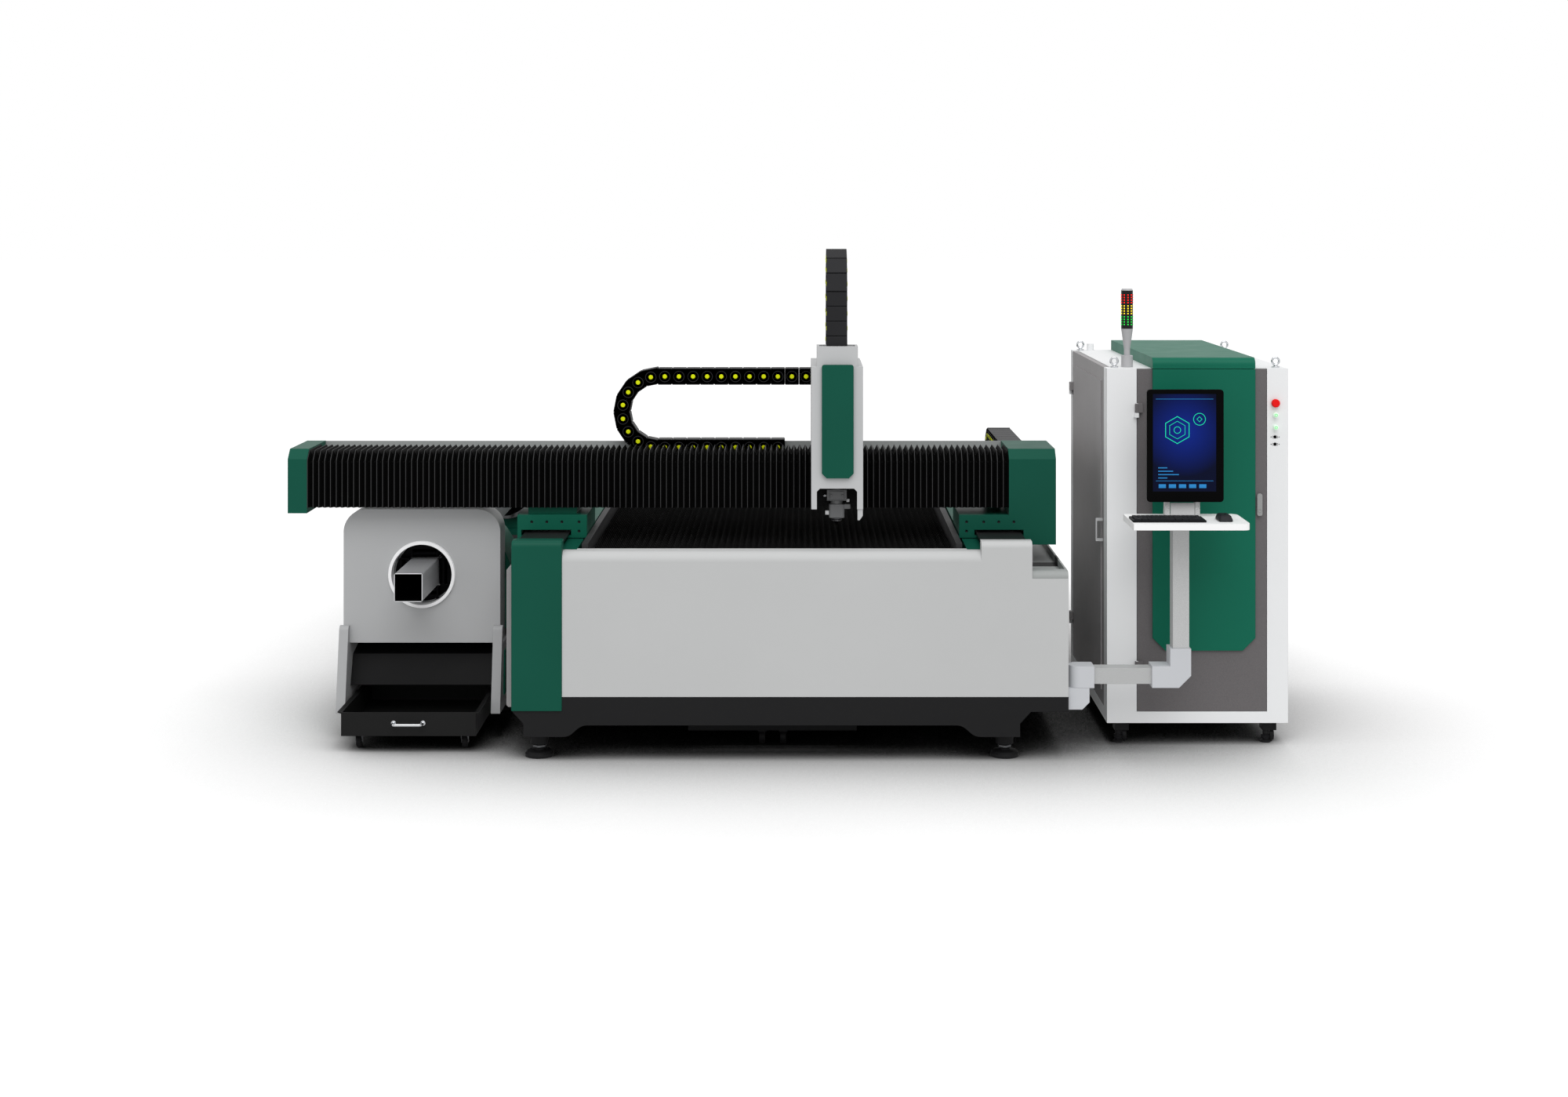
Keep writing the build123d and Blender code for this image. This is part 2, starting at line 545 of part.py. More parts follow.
# Feed carriage with its own ring, the rear chuck in it, and the square tube being cut
FEED_Y = BED_LENGTH - 880
with BuildPart() as feed_carriage:
    low = TUBE_BED_TOP + 24 + RUN
    block((TUBE_X - 280, TUBE_X + 280), (FEED_Y, FEED_Y + 480), (low, low + 30))
    along([(TUBE_X - 250, low + 30), (TUBE_X + 250, low + 30), (TUBE_X + 230, TUBE_Z + 215),
           (TUBE_X - 230, TUBE_Z + 215)], (FEED_Y + 60, FEED_Y + 420), rounds={2: 90, 3: 90})
    rod(Y, (TUBE_X, FEED_Y + 50, TUBE_Z), CHUCK_BORE, 400, Mode.SUBTRACT)
    for side in (-1, 1):
        x = TUBE_X + side * FEED_RAIL
        for y in (FEED_Y + 40, FEED_Y + 340):
            block((x - 30, x - 14 - FIT), (y, y + 90), (TUBE_BED_TOP + 10, low))
            block((x + 14 + FIT, x + 28), (y, y + 90), (TUBE_BED_TOP + 10, low))
finish(feed_carriage, "feed_carriage")

REAR_CHUCK = FEED_Y + 20
with BuildPart() as rear_chuck:
    chuck_ring(REAR_CHUCK, 460)
    grip = TUBE_SIDE / 2
    for turn in range(4):
        with BuildSketch(about_the_tube(REAR_CHUCK, turn)) as jaw:
            with BuildLine():
                Polyline((grip, -22), (grip + 26, -22), (grip + 26, -30), (JAW_ROOT, -30),
                         (JAW_ROOT, 30), (grip + 26, 30), (grip + 26, 22), (grip, 22), close=True)
            make_face()
        extrude(jaw.sketch, amount=JAW_DEEP)
finish(rear_chuck, "rear_chuck")

TUBE_REAR = FEED_Y + 300
with BuildPart() as workpiece_tube:
    half, inner = TUBE_SIDE / 2, TUBE_SIDE / 2 - TUBE_WALL
    along([(TUBE_X - half, TUBE_Z - half), (TUBE_X + half, TUBE_Z - half),
           (TUBE_X + half, TUBE_Z + half), (TUBE_X - half, TUBE_Z + half)],
          (TUBE_FRONT, TUBE_REAR), rounds={0: 8, 1: 8, 2: 8, 3: 8})
    along([(TUBE_X - inner, TUBE_Z - inner), (TUBE_X + inner, TUBE_Z - inner),
           (TUBE_X + inner, TUBE_Z + inner), (TUBE_X - inner, TUBE_Z + inner)],
          (TUBE_FRONT, TUBE_REAR), Mode.SUBTRACT, {0: 4, 1: 4, 2: 4, 3: 4})
finish(workpiece_tube, "workpiece_tube")

# Catch trolley: open tray with a flared front, on two swivel and two fixed casters
TRAY_HALF = 284
TRAY_BASE = 69
TRAY_TOP = 169
TRAY_Y = (140, 760)
with BuildPart() as tray_handle:
    reach, high, bar = 62, 124, 6
    plane = Plane(origin=at(TUBE_X, TRAY_Y[0], high), x_dir=X, z_dir=Z)
    with BuildLine(plane) as bow:
        FilletPolyline((-reach, 0), (-reach, -38), (reach, -38), (reach, 0), radius=14)
    with BuildSketch(Plane(origin=bow.line @ 0, z_dir=bow.line % 0)) as section:
        Circle(bar)
    sweep(section.sketch, path=bow.line)
finish(tray_handle, "tray_handle")

CASTER_X = 225
CASTER_Y = (215, 700)
WHEEL = 26
TRAIL = 16


def caster_fork(x, y, top, wheel, trail, wide=12):
    """A swivel fork below a plate: bearing cup, crown and two cheeks round the axle."""
    rod(Z, (x, y, top - 12), 17, 12)
    for side in (-1, 1):
        inner, outer = sorted((x + side * wide, x + side * (wide + 3)))
        across([(y - 14, top - 9), (y + 14, top - 9), (y + trail + 7, wheel - 6),
                (y + trail - 7, wheel - 6)], (inner, outer))
    block((x - wide - 3, x + wide + 3), (y - 14, y + 14), (top - 12, top - 9))


for label, side in (("left", -1), ("right", 1)):
    x, y = TUBE_X + side * CASTER_X, CASTER_Y[0]
    with BuildPart() as caster:
        caster_fork(x, y, TRAY_BASE - FIT, WHEEL, TRAIL)
        rod(X, (x - 15, y + TRAIL, WHEEL), 4, 30)
    finish(caster, f"caster_fork_{label}")
    with BuildPart() as caster_wheel:
        turned(X, (x - 10, y + TRAIL, WHEEL), [(4.3, 0), (WHEEL - 2, 0), (WHEEL, 3),
                                               (WHEEL, 17), (WHEEL - 2, 20), (4.3, 20)])
    finish(caster_wheel, f"caster_wheel_{label}")

with BuildPart() as catch_tray:
    left, right = TUBE_X - TRAY_HALF, TUBE_X + TRAY_HALF
    block((left, right), TRAY_Y, (TRAY_BASE, TRAY_TOP))
    block((left + 4, right - 4), (TRAY_Y[0] + 4, TRAY_Y[1] - 4), (TRAY_BASE + 4, TRAY_TOP),
          Mode.SUBTRACT)
    for side in (-1, 1):
        edge = TUBE_X + side * TRAY_HALF
        along([(edge, TRAY_TOP), (edge + side * 15, TRAY_TOP + 3),
               (edge + side * 15, TRAY_TOP - 1), (edge, TRAY_TOP - 6)], TRAY_Y)
    for side in (-1, 1):
        x, y = TUBE_X + side * CASTER_X, CASTER_Y[1]
        caster_fork(x, y, TRAY_BASE, WHEEL, 0)
        rod(X, (x - 15, y, WHEEL), 4, 30)
        turned(X, (x - 11, y, WHEEL), [(0, 0), (WHEEL - 2, 0), (WHEEL, 3), (WHEEL, 19),
                                       (WHEEL - 2, 22), (0, 22)])
finish(catch_tray, "catch_tray")

# Scrap cart under the hopper, on four fixed casters, drawn out to the rear
CART_HALF = 360
CART_Y = (260, WORK_REAR - 80)
CART_TOP = 138
with BuildPart() as scrap_cart:
    block((-CART_HALF, CART_HALF), CART_Y, (62, CART_TOP))
    block((-CART_HALF + 4, CART_HALF - 4), (CART_Y[0] + 4, CART_Y[1] - 4), (66, CART_TOP),
          Mode.SUBTRACT)
    for y in (CART_Y[0] + 40, sum(CART_Y) / 2, CART_Y[1] - 40):
        for x in (-45, 45) if y < 400 else (-300, 300):
            rod(X, (x - 12, y, 28), 28, 24)
            block((x - 18, x + 18), (y - 16, y + 16), (50, 62))
finish(scrap_cart, "scrap_cart")

# Gantry beam: closed box with two rails and a rack in front and the chain tray behind
GANTRY_WALL = 10
RAIL_FRONT = 365
X_RAILS = (1040, 1170)
X_RAIL_HIGH = 28
with BuildPart() as gantry_beam:
    span = (CAP_THICK - BEAM_LEFT, COLUMN_IN)
    block(span, (BEAM_FRONT, BEAM_REAR), (BEAM_LOW, BEAM_HIGH))
    block((span[0] + GANTRY_WALL, span[1] - GANTRY_WALL),
          (BEAM_FRONT + GANTRY_WALL, BEAM_REAR - GANTRY_WALL),
          (BEAM_LOW + GANTRY_WALL, BEAM_HIGH - GANTRY_WALL), Mode.SUBTRACT)
    for z in X_RAILS:
        block(span, (RAIL_FRONT, BEAM_FRONT), (z, z + X_RAIL_HIGH))
    block(span, (RAIL_FRONT + 5, BEAM_FRONT), (1108, 1130))
    across([(BEAM_REAR, TRAY_LOW), (TRAY_REAR, TRAY_LOW), (TRAY_REAR, BELLOWS_TOP + 5),
            (TRAY_REAR - SHEET, BELLOWS_TOP + 5), (TRAY_REAR - SHEET, TRAY_LOW + SHEET),
            (BEAM_REAR, TRAY_LOW + SHEET)], span)
finish(gantry_beam, "gantry_beam")


def beam_profile(low):
    """The section that closes the beam at its ends, with its sloping front edge."""
    front, top = GANTRY_FRONT, BELLOWS_TOP + 6
    return [(front, low), (front, top - BELLOWS_CHAMFER), (front + BELLOWS_CHAMFER, top),
            (TRAY_REAR, top), (TRAY_REAR, TRAY_LOW - 10), (BEAM_REAR + 5, TRAY_LOW - 10),
            (BEAM_REAR + 5, low)]


with BuildPart() as beam_end_cap:
    across(beam_profile(977), (-BEAM_LEFT, CAP_THICK - BEAM_LEFT))
finish(beam_end_cap, "beam_end_cap")

# Carriages: arms that pass over and under the cover strips, and run on the rails in the channels
INNER_LEG = 68
OUTER_LEG = 17
LEG_LOW = 842


def bolt_holes(places, face):
    """Blind bolt holes along Y in a front face."""
    for x, z in places:
        rod(Y, (x, face - 1, z), 6, 9, Mode.SUBTRACT)


CARRIAGE_Y = (GANTRY_FRONT, CARRIAGE_REAR)
with BuildPart() as left_carriage:
    block((-CARRIAGE_LEFT, -CARRIAGE_IN), CARRIAGE_Y, (FOOT_PLATE[0], CARRIAGE_TOP))
    block((OUTER_LEG - CARRIAGE_LEFT, -CARRIAGE_IN - INNER_LEG), CARRIAGE_Y,
          (FOOT_PLATE[1], NOTCH_TOP), Mode.SUBTRACT)
    block((-CARRIAGE_LEFT, OUTER_LEG - CARRIAGE_LEFT), CARRIAGE_Y, (LEG_LOW, FOOT_PLATE[0]))
    block((42 - CARRIAGE_LEFT, -CARRIAGE_IN - 48), (BEAM_FRONT, BEAM_REAR),
          (CARRIAGE_TOP, BEAM_LOW))
    bolt_holes([(-RAIL_X - 65, 940), (-RAIL_X, 940), (-RAIL_X + 65, 940),
                (-CARRIAGE_IN - 34, 940), (-CARRIAGE_IN - 34, 900)], GANTRY_FRONT)
finish(left_carriage, "left_carriage")

with BuildPart() as right_bracket:
    block((CARRIAGE_IN + 2, COLUMN_OUT), CARRIAGE_Y, (FOOT_PLATE[0], CARRIAGE_TOP))
    block((CARRIAGE_IN + INNER_LEG, TROUGH_IN + 1), CARRIAGE_Y, (FOOT_PLATE[1], NOTCH_TOP),
          Mode.SUBTRACT)
    block((TROUGH_IN + 1, COLUMN_OUT), CARRIAGE_Y, (LEG_LOW, FOOT_PLATE[0]))
    across(beam_profile(CARRIAGE_TOP), (COLUMN_IN, COLUMN_OUT))
    bolt_holes([(RAIL_X + 65, 940), (RAIL_X, 940), (RAIL_X - 65, 940), (CARRIAGE_IN + 34, 940),
                (CARRIAGE_IN + 34, 900)], GANTRY_FRONT)
finish(right_bracket, "right_bracket")

# Drive units: two bearing blocks and an upright geared motor on each side
with BuildPart() as y_drive_units:
    for side in (-1, 1):
        x = side * RAIL_X
        for y in (GANTRY_FRONT + 15, CARRIAGE_REAR - 105):
            block((x - 32, x + 32), (y, y + 90), (CHANNEL_FLOOR + 6, FOOT_PLATE[0]))
            block((x - RAIL_WIDE / 2 - FIT, x + RAIL_WIDE / 2 + FIT), (y, y + 90),
                  (CHANNEL_FLOOR + 6, CHANNEL_FLOOR + RAIL_HIGH + FIT), Mode.SUBTRACT)
        y = BEAM_REAR + 52
        block((x - 38, x + 38), (y - 38, y + 38), (CARRIAGE_TOP, CARRIAGE_TOP + 60))
        block((x - 32, x + 32), (y - 32, y + 32), (CARRIAGE_TOP + 60, CARRIAGE_TOP + 180))
finish(y_drive_units, "y_drive_units")


def pleated_cover(x0, x1):
    """Bellows over the front and top of the beam, folded in even pleats."""
    count = round((x1 - x0) / PLEAT)
    step = (x1 - x0) / count / 2
    rings = []
    for number in range(2 * count + 1):
        inset = PLEAT_DEEP * (number % 2)
        front, top = GANTRY_FRONT + inset, BELLOWS_TOP - inset
        slope = BELLOWS_CHAMFER - inset * tan(pi / 8)
        plane = Plane(origin=at(x0 + number * step, 0, 0), x_dir=Y, z_dir=X)
        rings.append(outline(plane, [(front, BELLOWS_LOW), (front, top - slope),
                                     (front + slope, top), (BEAM_REAR, top),
                                     (BEAM_REAR, BELLOWS_LOW)]))
    loft(sections=rings, ruled=True)
    front, top = GANTRY_FRONT + BELLOWS_WALL, BELLOWS_TOP - BELLOWS_WALL
    slope = BELLOWS_CHAMFER - BELLOWS_WALL * tan(pi / 8)
    across([(front, BELLOWS_LOW - 1), (front, top - slope), (front + slope, top),
            (BEAM_REAR + 1, top), (BEAM_REAR + 1, BELLOWS_LOW - 1)], (x0 - 1, x1 + 1),
           Mode.SUBTRACT)


with BuildPart() as bellows_left:
    pleated_cover(CAP_THICK - BEAM_LEFT + FIT, HEAD_LEFT - FIT)
finish(bellows_left, "bellows_left")

with BuildPart() as bellows_right:
    pleated_cover(HEAD_RIGHT + FIT, COLUMN_IN - FIT)
finish(bellows_right, "bellows_right")


# Drag chains: hollow links in an upper and a lower run, turned round in a bend
LINK_WALL = 8
LINK_GAP = 0.6


def drag_chain(plane, upper, lower, radius, wide):
    """Links on a plane whose X axis points along the runs, with the bend round its origin.

    The end brackets fill what is left of each run."""
    half = LINK_HIGH / 2
    turn = pi / round(pi * radius / LINK_PITCH)
    with BuildPart(mode=Mode.PRIVATE) as straight:
        with Locations((LINK_PITCH / 2, 0, 0)):
            Box(LINK_PITCH - LINK_GAP, LINK_HIGH, wide)
            Box(LINK_PITCH, LINK_HIGH - 2 * LINK_WALL, wide - 2 * LINK_WALL, mode=Mode.SUBTRACT)
    with BuildPart(mode=Mode.PRIVATE) as bent:
        small = LINK_GAP / radius / 2
        for mode, inset, height in ((Mode.ADD, 0, wide), (Mode.SUBTRACT, LINK_WALL,
                                                         wide - 2 * LINK_WALL)):
            near, far = radius - half + inset, radius + half - inset
            spread = (small, turn - small) if mode == Mode.ADD else (-0.1, turn + 0.1)
            corners = [(r * cos(a), r * sin(a)) for r, a in
                       ((near, spread[0]), (far, spread[0]), (far, spread[1]), (near, spread[1]))]
            with BuildSketch(Plane.XY.offset(-height / 2)):
                with BuildLine():
                    Polyline(*corners, close=True)
                make_face()
            extrude(amount=height, mode=mode)
    frame = plane.location
    places = []
    for run, v in ((upper, radius), (lower, -radius)):
        count = int(run // LINK_PITCH)
        places += [frame * Location((n * LINK_PITCH, v, 0)) for n in range(count)]
    with Locations(*places):
        add(straight.part)
    bends = [frame * Location((0, 0, 0), (0, 0, 90 + n * turn * 180 / pi))
             for n in range(round(pi / turn))]
    with Locations(*bends):
        add(bent.part)
    for run, v in ((upper, radius), (lower, -radius)):
        start = run // LINK_PITCH * LINK_PITCH
        with Locations(frame * Location(((start + run) / 2, v, 0))):
            Box(run - start - LINK_GAP, LINK_HIGH - 8, wide)


X_BEND = -515  # middle of the bend of the X chain
X_CHAIN_Y = (612, 690)
X_CHAIN_END = HEAD_RIGHT + 6
X_CHAIN_FIXED = 51
X_CHAIN_LOW = TRAY_LOW + SHEET + FIT
X_CHAIN_TOP_RUN = X_CHAIN_LOW + 2 * BEND_RADIUS - FIT
with BuildPart() as x_chain:
    middle = X_CHAIN_LOW + LINK_HIGH / 2 + BEND_RADIUS
    plane = Plane(origin=at(X_BEND, sum(X_CHAIN_Y) / 2, middle), x_dir=X, z_dir=(0, -1, 0))
    drag_chain(plane, X_CHAIN_END - X_BEND, X_CHAIN_FIXED - X_BEND, BEND_RADIUS,
               X_CHAIN_Y[1] - X_CHAIN_Y[0])
finish(x_chain, "x_chain")

Y_BEND = 2200
Y_CHAIN_X = (TROUGH_IN + 16, TROUGH_OUT - 18)
Y_CHAIN_FIXED = 1200
Y_CHAIN_LOW = TROUGH_FLOOR + FIT
with BuildPart() as y_chain:
    middle = Y_CHAIN_LOW + LINK_HIGH / 2 + BEND_RADIUS
    plane = Plane(origin=at(sum(Y_CHAIN_X) / 2, Y_BEND, middle), x_dir=(0, -1, 0),
                  z_dir=(-1, 0, 0))
    drag_chain(plane, Y_BEND - CARRIAGE_REAR - FIT, Y_BEND - Y_CHAIN_FIXED, BEND_RADIUS,
               Y_CHAIN_X[1] - Y_CHAIN_X[0])
finish(y_chain, "y_chain")

# Head housing: front shell and a saddle over the beam, open below, with the inner top box
BOX_X = (HEAD_LEFT + 23, HEAD_RIGHT - 21)
BOX_Y = (HEAD_FRONT + 12, HEAD_FRONT + 152)
SLOT = ((BOX_X[0] + 12, BOX_X[1] - 12), (HEAD_FRONT + 40, HEAD_FRONT + 130))
NOTCH_X = (HEAD_LEFT + 23, HEAD_RIGHT - 25)
HEAD_NOTCH = HEAD_LOW + 87
SADDLE_LOW = BELLOWS_TOP + RUN + 3
PLATE_Y = (330, 342)
with BuildPart() as head_housing:
    width = (HEAD_LEFT, HEAD_RIGHT)
    inner = (HEAD_LEFT + HEAD_SHEET, HEAD_RIGHT - HEAD_SHEET)
    across([(HEAD_FRONT, HEAD_LOW), (HEAD_FRONT, HEAD_TOP), (HEAD_BACK, HEAD_TOP),
            (HEAD_BACK, SADDLE_LOW), (PLATE_Y[1], SADDLE_LOW), (PLATE_Y[1], HEAD_LOW)], width)
    block(inner, (HEAD_FRONT + HEAD_SHEET, PLATE_Y[0]), (HEAD_LOW, HEAD_TOP - HEAD_SHEET),
          Mode.SUBTRACT)
    block(inner, (PLATE_Y[1], HEAD_BACK - HEAD_SHEET),
          (SADDLE_LOW + HEAD_SHEET, HEAD_TOP - HEAD_SHEET), Mode.SUBTRACT)
    block(BOX_X, BOX_Y, (HEAD_TOP, BOX_TOP))
    block(*SLOT, (HEAD_TOP - HEAD_SHEET - 1, BOX_TOP), Mode.SUBTRACT)
    along([(NOTCH_X[0], HEAD_LOW), (NOTCH_X[1], HEAD_LOW), (NOTCH_X[1], HEAD_NOTCH - 13),
           (NOTCH_X[1] - 13, HEAD_NOTCH), (NOTCH_X[0] + 13, HEAD_NOTCH),
           (NOTCH_X[0], HEAD_NOTCH - 13)],
          (HEAD_FRONT - 1, HEAD_FRONT + HEAD_SHEET + 1), Mode.SUBTRACT)
    for z in X_RAILS:
        for low, high in ((z - 16, z - FIT), (z + X_RAIL_HIGH + FIT, z + X_RAIL_HIGH + 16)):
            block((HEAD_LEFT + 15, HEAD_RIGHT - 15), (PLATE_Y[1], BEAM_FRONT - 2), (low, high))
        block((HEAD_LEFT + 15, HEAD_RIGHT - 15), (PLATE_Y[1], RAIL_FRONT - 1),
              (z - 16, z + X_RAIL_HIGH + 16))
    for x in (HEAD_LEFT + 50, HEAD_RIGHT - 66):
        block((x, x + 16), (PLATE_Y[0] - 12, PLATE_Y[0]), (1120, 1600))
    block((HEAD_RIGHT - 60, X_CHAIN_END), (HEAD_BACK - 20, X_CHAIN_Y[1]),
          (X_CHAIN_TOP_RUN - 12, X_CHAIN_TOP_RUN))
    along([(HEAD_RIGHT - 23, HEAD_LOW - 46), (HEAD_RIGHT - 14, HEAD_LOW - 46),
           (HEAD_RIGHT - 1, HEAD_LOW - 27), (HEAD_RIGHT - 1, HEAD_LOW),
           (HEAD_RIGHT - 23, HEAD_LOW)], (HEAD_FRONT + 4, HEAD_FRONT + HEAD_SHEET))
finish(head_housing, "head_housing")

# Green front cover of the head, standing proud
HEAD_PLATE = (HEAD_LEFT + 44, HEAD_RIGHT - 40)
PLATE_LOW = HEAD_NOTCH + 45
with BuildPart() as head_cover:
    left, right = HEAD_PLATE
    along([(left + 20, PLATE_LOW), (right - 20, PLATE_LOW), (right, PLATE_LOW + 20),
           (right, HEAD_TOP + 9), (left, HEAD_TOP + 9), (left, PLATE_LOW + 20)],
          (HEAD_FRONT - 16, HEAD_FRONT - FIT), rounds={3: 10, 4: 10})
finish(head_cover, "head_cover")

# Chain of the Z slide, standing over the head: its front run goes down through the slot
Z_RADIUS = 139.5
Z_BEND = 1946
SHELF_TOP = 1575
Z_CHAIN_WIDE = 87
with BuildPart() as z_chain:
    front = sum(SLOT[1]) / 2
    plane = Plane(origin=at((HEAD_LEFT + HEAD_RIGHT) / 2, front + Z_RADIUS, Z_BEND),
                  x_dir=(0, 0, -1), z_dir=(-1, 0, 0))
    drag_chain(plane, Z_BEND - SHELF_TOP - FIT, Z_BEND - HEAD_TOP - FIT, Z_RADIUS,
               Z_CHAIN_WIDE)
finish(z_chain, "z_chain")

# Z slide with the cutting head below it: collimator column, lens block and nozzle holder
HEAD_X = (HEAD_LEFT + HEAD_RIGHT) / 2
with BuildPart() as cutting_head:
    block((HEAD_X - 84, HEAD_X + 84), (288, 300), (1150, SHELF_TOP))
    for x in (HEAD_LEFT + 50, HEAD_RIGHT - 66):
        for z in (1180, 1480):
            block((x - 12, x - FIT), (300, 326), (z, z + 70))
            block((x + 16 + FIT, x + 28), (300, 326), (z, z + 70))
            block((x - 12, x + 28), (300, 318 - FIT), (z, z + 70))
    block((HEAD_X - 70, HEAD_X + 70), (140, 290), (SHELF_TOP - 12, SHELF_TOP))
    rod(Z, (HEAD_X, NOZZLE_Y, 1099), 38, 320)
    block((HEAD_X - 30, HEAD_X + 30), (NOZZLE_Y, 290), (1200, 1230))
    block((HEAD_X - 30, HEAD_X + 30), (NOZZLE_Y, 290), (1340, 1370))
    block((HEAD_X - 42, HEAD_X + 42), (NOZZLE_Y - 42, NOZZLE_Y + 42), (1052, 1099))
    chamfer(cutting_head.edges().filter_by(Axis.X).group_by(Axis.Z)[0], 6)
    rod(Z, (HEAD_X, NOZZLE_Y, 1036), 27, 16)
    upward([(HEAD_X - 33, NOZZLE_Y - 33), (HEAD_X + 33, NOZZLE_Y - 33),
            (HEAD_X + 33, NOZZLE_Y + 33), (HEAD_X - 33, NOZZLE_Y + 33)], (979, 1036),
           rounds={0: 12, 1: 12, 2: 12, 3: 12})
finish(cutting_head, "cutting_head")

with BuildPart() as nozzle:
    turned(Z, (HEAD_X, NOZZLE_Y, NOZZLE_TIP), [(1.5, 0), (5, 0), (13, 14), (13, 20), (20, 20),
                                               (20, 31), (1.5, 31)])
finish(nozzle, "nozzle")

# Cabinet: posts, sill and head rail, with panels, doors and a raised roof band
CABINET_RIGHT = CABINET_LEFT + CABINET_WIDTH
CABINET_REAR = CABINET_FRONT + CABINET_DEEP
DOOR_X = (CABINET_LEFT + POST_LEFT, CABINET_RIGHT - POST_RIGHT)
DOOR_Z = (CABINET_LOW + SILL, CABINET_TOP - 2)
LEAF = 27  # room for a door leaf in front of the frame
HINGES = (300, 1400)  # undersides of the hinges
HINGE_PIN = 5
HINGE_OUT = 9  # from a face to the middle of its hinge pins
SIDE_PIN = (CABINET_LEFT - HINGE_OUT, CABINET_REAR - 66)
BUTTON_X = CABINET_RIGHT - 56
BUTTONS = {"e_stop": (1461, 18), "start_button": (1411, 11), "stop_button": (1358, 11)}
with BuildPart() as cabinet_frame:
    for x, y in (((CABINET_LEFT, DOOR_X[0]), (CABINET_FRONT, CABINET_FRONT + 90)),
                 ((DOOR_X[1], CABINET_RIGHT), (CABINET_FRONT, CABINET_FRONT + 90)),
                 ((CABINET_LEFT, CABINET_LEFT + 60), (CABINET_REAR - 60, CABINET_REAR)),
                 ((CABINET_RIGHT - 60, CABINET_RIGHT), (CABINET_REAR - 60, CABINET_REAR))):
        block(x, y, (CABINET_LOW, CABINET_TOP))
    block((CABINET_LEFT, CABINET_RIGHT), (CABINET_FRONT, CABINET_REAR),
          (CABINET_LOW, CABINET_LOW + SILL - 1))
    block((CABINET_LEFT + LEAF, CABINET_RIGHT), (CABINET_FRONT + LEAF + 1, CABINET_REAR),
          (CABINET_TOP - 29, CABINET_TOP))
    rod(Z, (CABINET_LEFT + 88, CABINET_REAR - 40, CABINET_TOP), 17, 32)
    for z, _ in BUTTONS.values():
        rod(Y, (BUTTON_X, CABINET_FRONT - 1, z), 8.5, 40, Mode.SUBTRACT)
    for z in (1316, 1285):
        rod(Y, (BUTTON_X, CABINET_FRONT - 1, z), 7, 30, Mode.SUBTRACT)
    for z in HINGES:
        block((DOOR_X[0] - 12, DOOR_X[0] + 2), (CABINET_FRONT - HINGE_OUT, CABINET_FRONT),
              (z, z + 20))
        x, y = SIDE_PIN
        block((x, CABINET_LEFT), (y, y + 16), (z, z + 20))
        for place in ((DOOR_X[0], CABINET_FRONT - HINGE_OUT, z), (x, y, z)):
            rod(Z, place, HINGE_OUT, 20)
            rod(Z, place, HINGE_PIN, 60)
finish(cabinet_frame, "cabinet_frame")

with BuildPart() as cabinet_panels:
    floor, head = CABINET_LOW + SILL - 1 + FIT, CABINET_TOP - 29 - FIT
    block((CABINET_LEFT + 60 + FIT, CABINET_RIGHT - 60 - FIT), (CABINET_REAR - 5, CABINET_REAR),
          (floor, head))
    block((CABINET_RIGHT - 5, CABINET_RIGHT), (CABINET_FRONT + 90 + FIT, CABINET_REAR - 60 - FIT),
          (floor, head))
    for number in range(6):
        z = 260 + number * 40
        block((CABINET_RIGHT - 6, CABINET_RIGHT + 1), (700, 1100), (z, z + 14), Mode.SUBTRACT)
finish(cabinet_panels, "cabinet_panels")

# Raised band that runs over the roof from the front, with a rounded front edge
BAND_X = (CABINET_LEFT + 194, CABINET_RIGHT - 142)
PANEL_PROUD = 10
with BuildPart() as cabinet_roof:
    front = CABINET_FRONT - PANEL_PROUD
    across([(front, CABINET_TOP), (front, CABINET_TOP + BAND_HIGH),
            (CABINET_REAR, CABINET_TOP + BAND_HIGH), (CABINET_REAR, CABINET_TOP)], BAND_X,
           rounds={1: 30})
finish(cabinet_roof, "cabinet_roof")

EYES = [(CABINET_LEFT + 40, CABINET_FRONT + 60), (CABINET_RIGHT - 40, CABINET_FRONT + 60),
        (CABINET_LEFT + 40, CABINET_REAR - 40), (CABINET_RIGHT - 40, CABINET_REAR - 40)]
with BuildPart() as lifting_eyes:
    for x, y in EYES:
        rod(Z, (x, y, CABINET_TOP), 17, 6)
        rod(Z, (x, y, CABINET_TOP + 6), 9, 6)
        with Locations(Location(at(x, y, CABINET_TOP + 28), (90, 0, 0))):
            Torus(15, 5)
finish(lifting_eyes, "lifting_eyes")

LAMP = (CABINET_LEFT + 100, CABINET_FRONT + 90)
with BuildPart() as signal_lamp:
    turned(Z, (*LAMP, CABINET_TOP), [(0, 0), (25, 0), (25, 50), (13, 50), (13, 76), (25.5, 165),
                                     (25.5, 331), (22, 338), (0, 338)])
finish(signal_lamp, "signal_lamp")

CASTER_SPOTS = [(x, y) for x in (CABINET_LEFT + 70, CABINET_RIGHT - 70)
                for y in (CABINET_FRONT + 70, CABINET_REAR - 70)]
with BuildPart() as cabinet_casters:
    for x, y in CASTER_SPOTS:
        block((x - 38, x + 38), (y - 38, y + 38), (CABINET_LOW - 8, CABINET_LOW))
        block((x - 30, x + 30), (y - 26, y + 34), (52, CABINET_LOW - 8))
        turned(Z, (x - 14, y - 10, 0), [(0, 0), (22, 0), (22, 6), (12, 12), (12, 52), (0, 52)])
        rod(X, (x + 4, y + 12, 30), 28, 18)
        block((x + 8, x + 18), (y + 4, y + 20), (30, 52))
finish(cabinet_casters, "cabinet_casters")

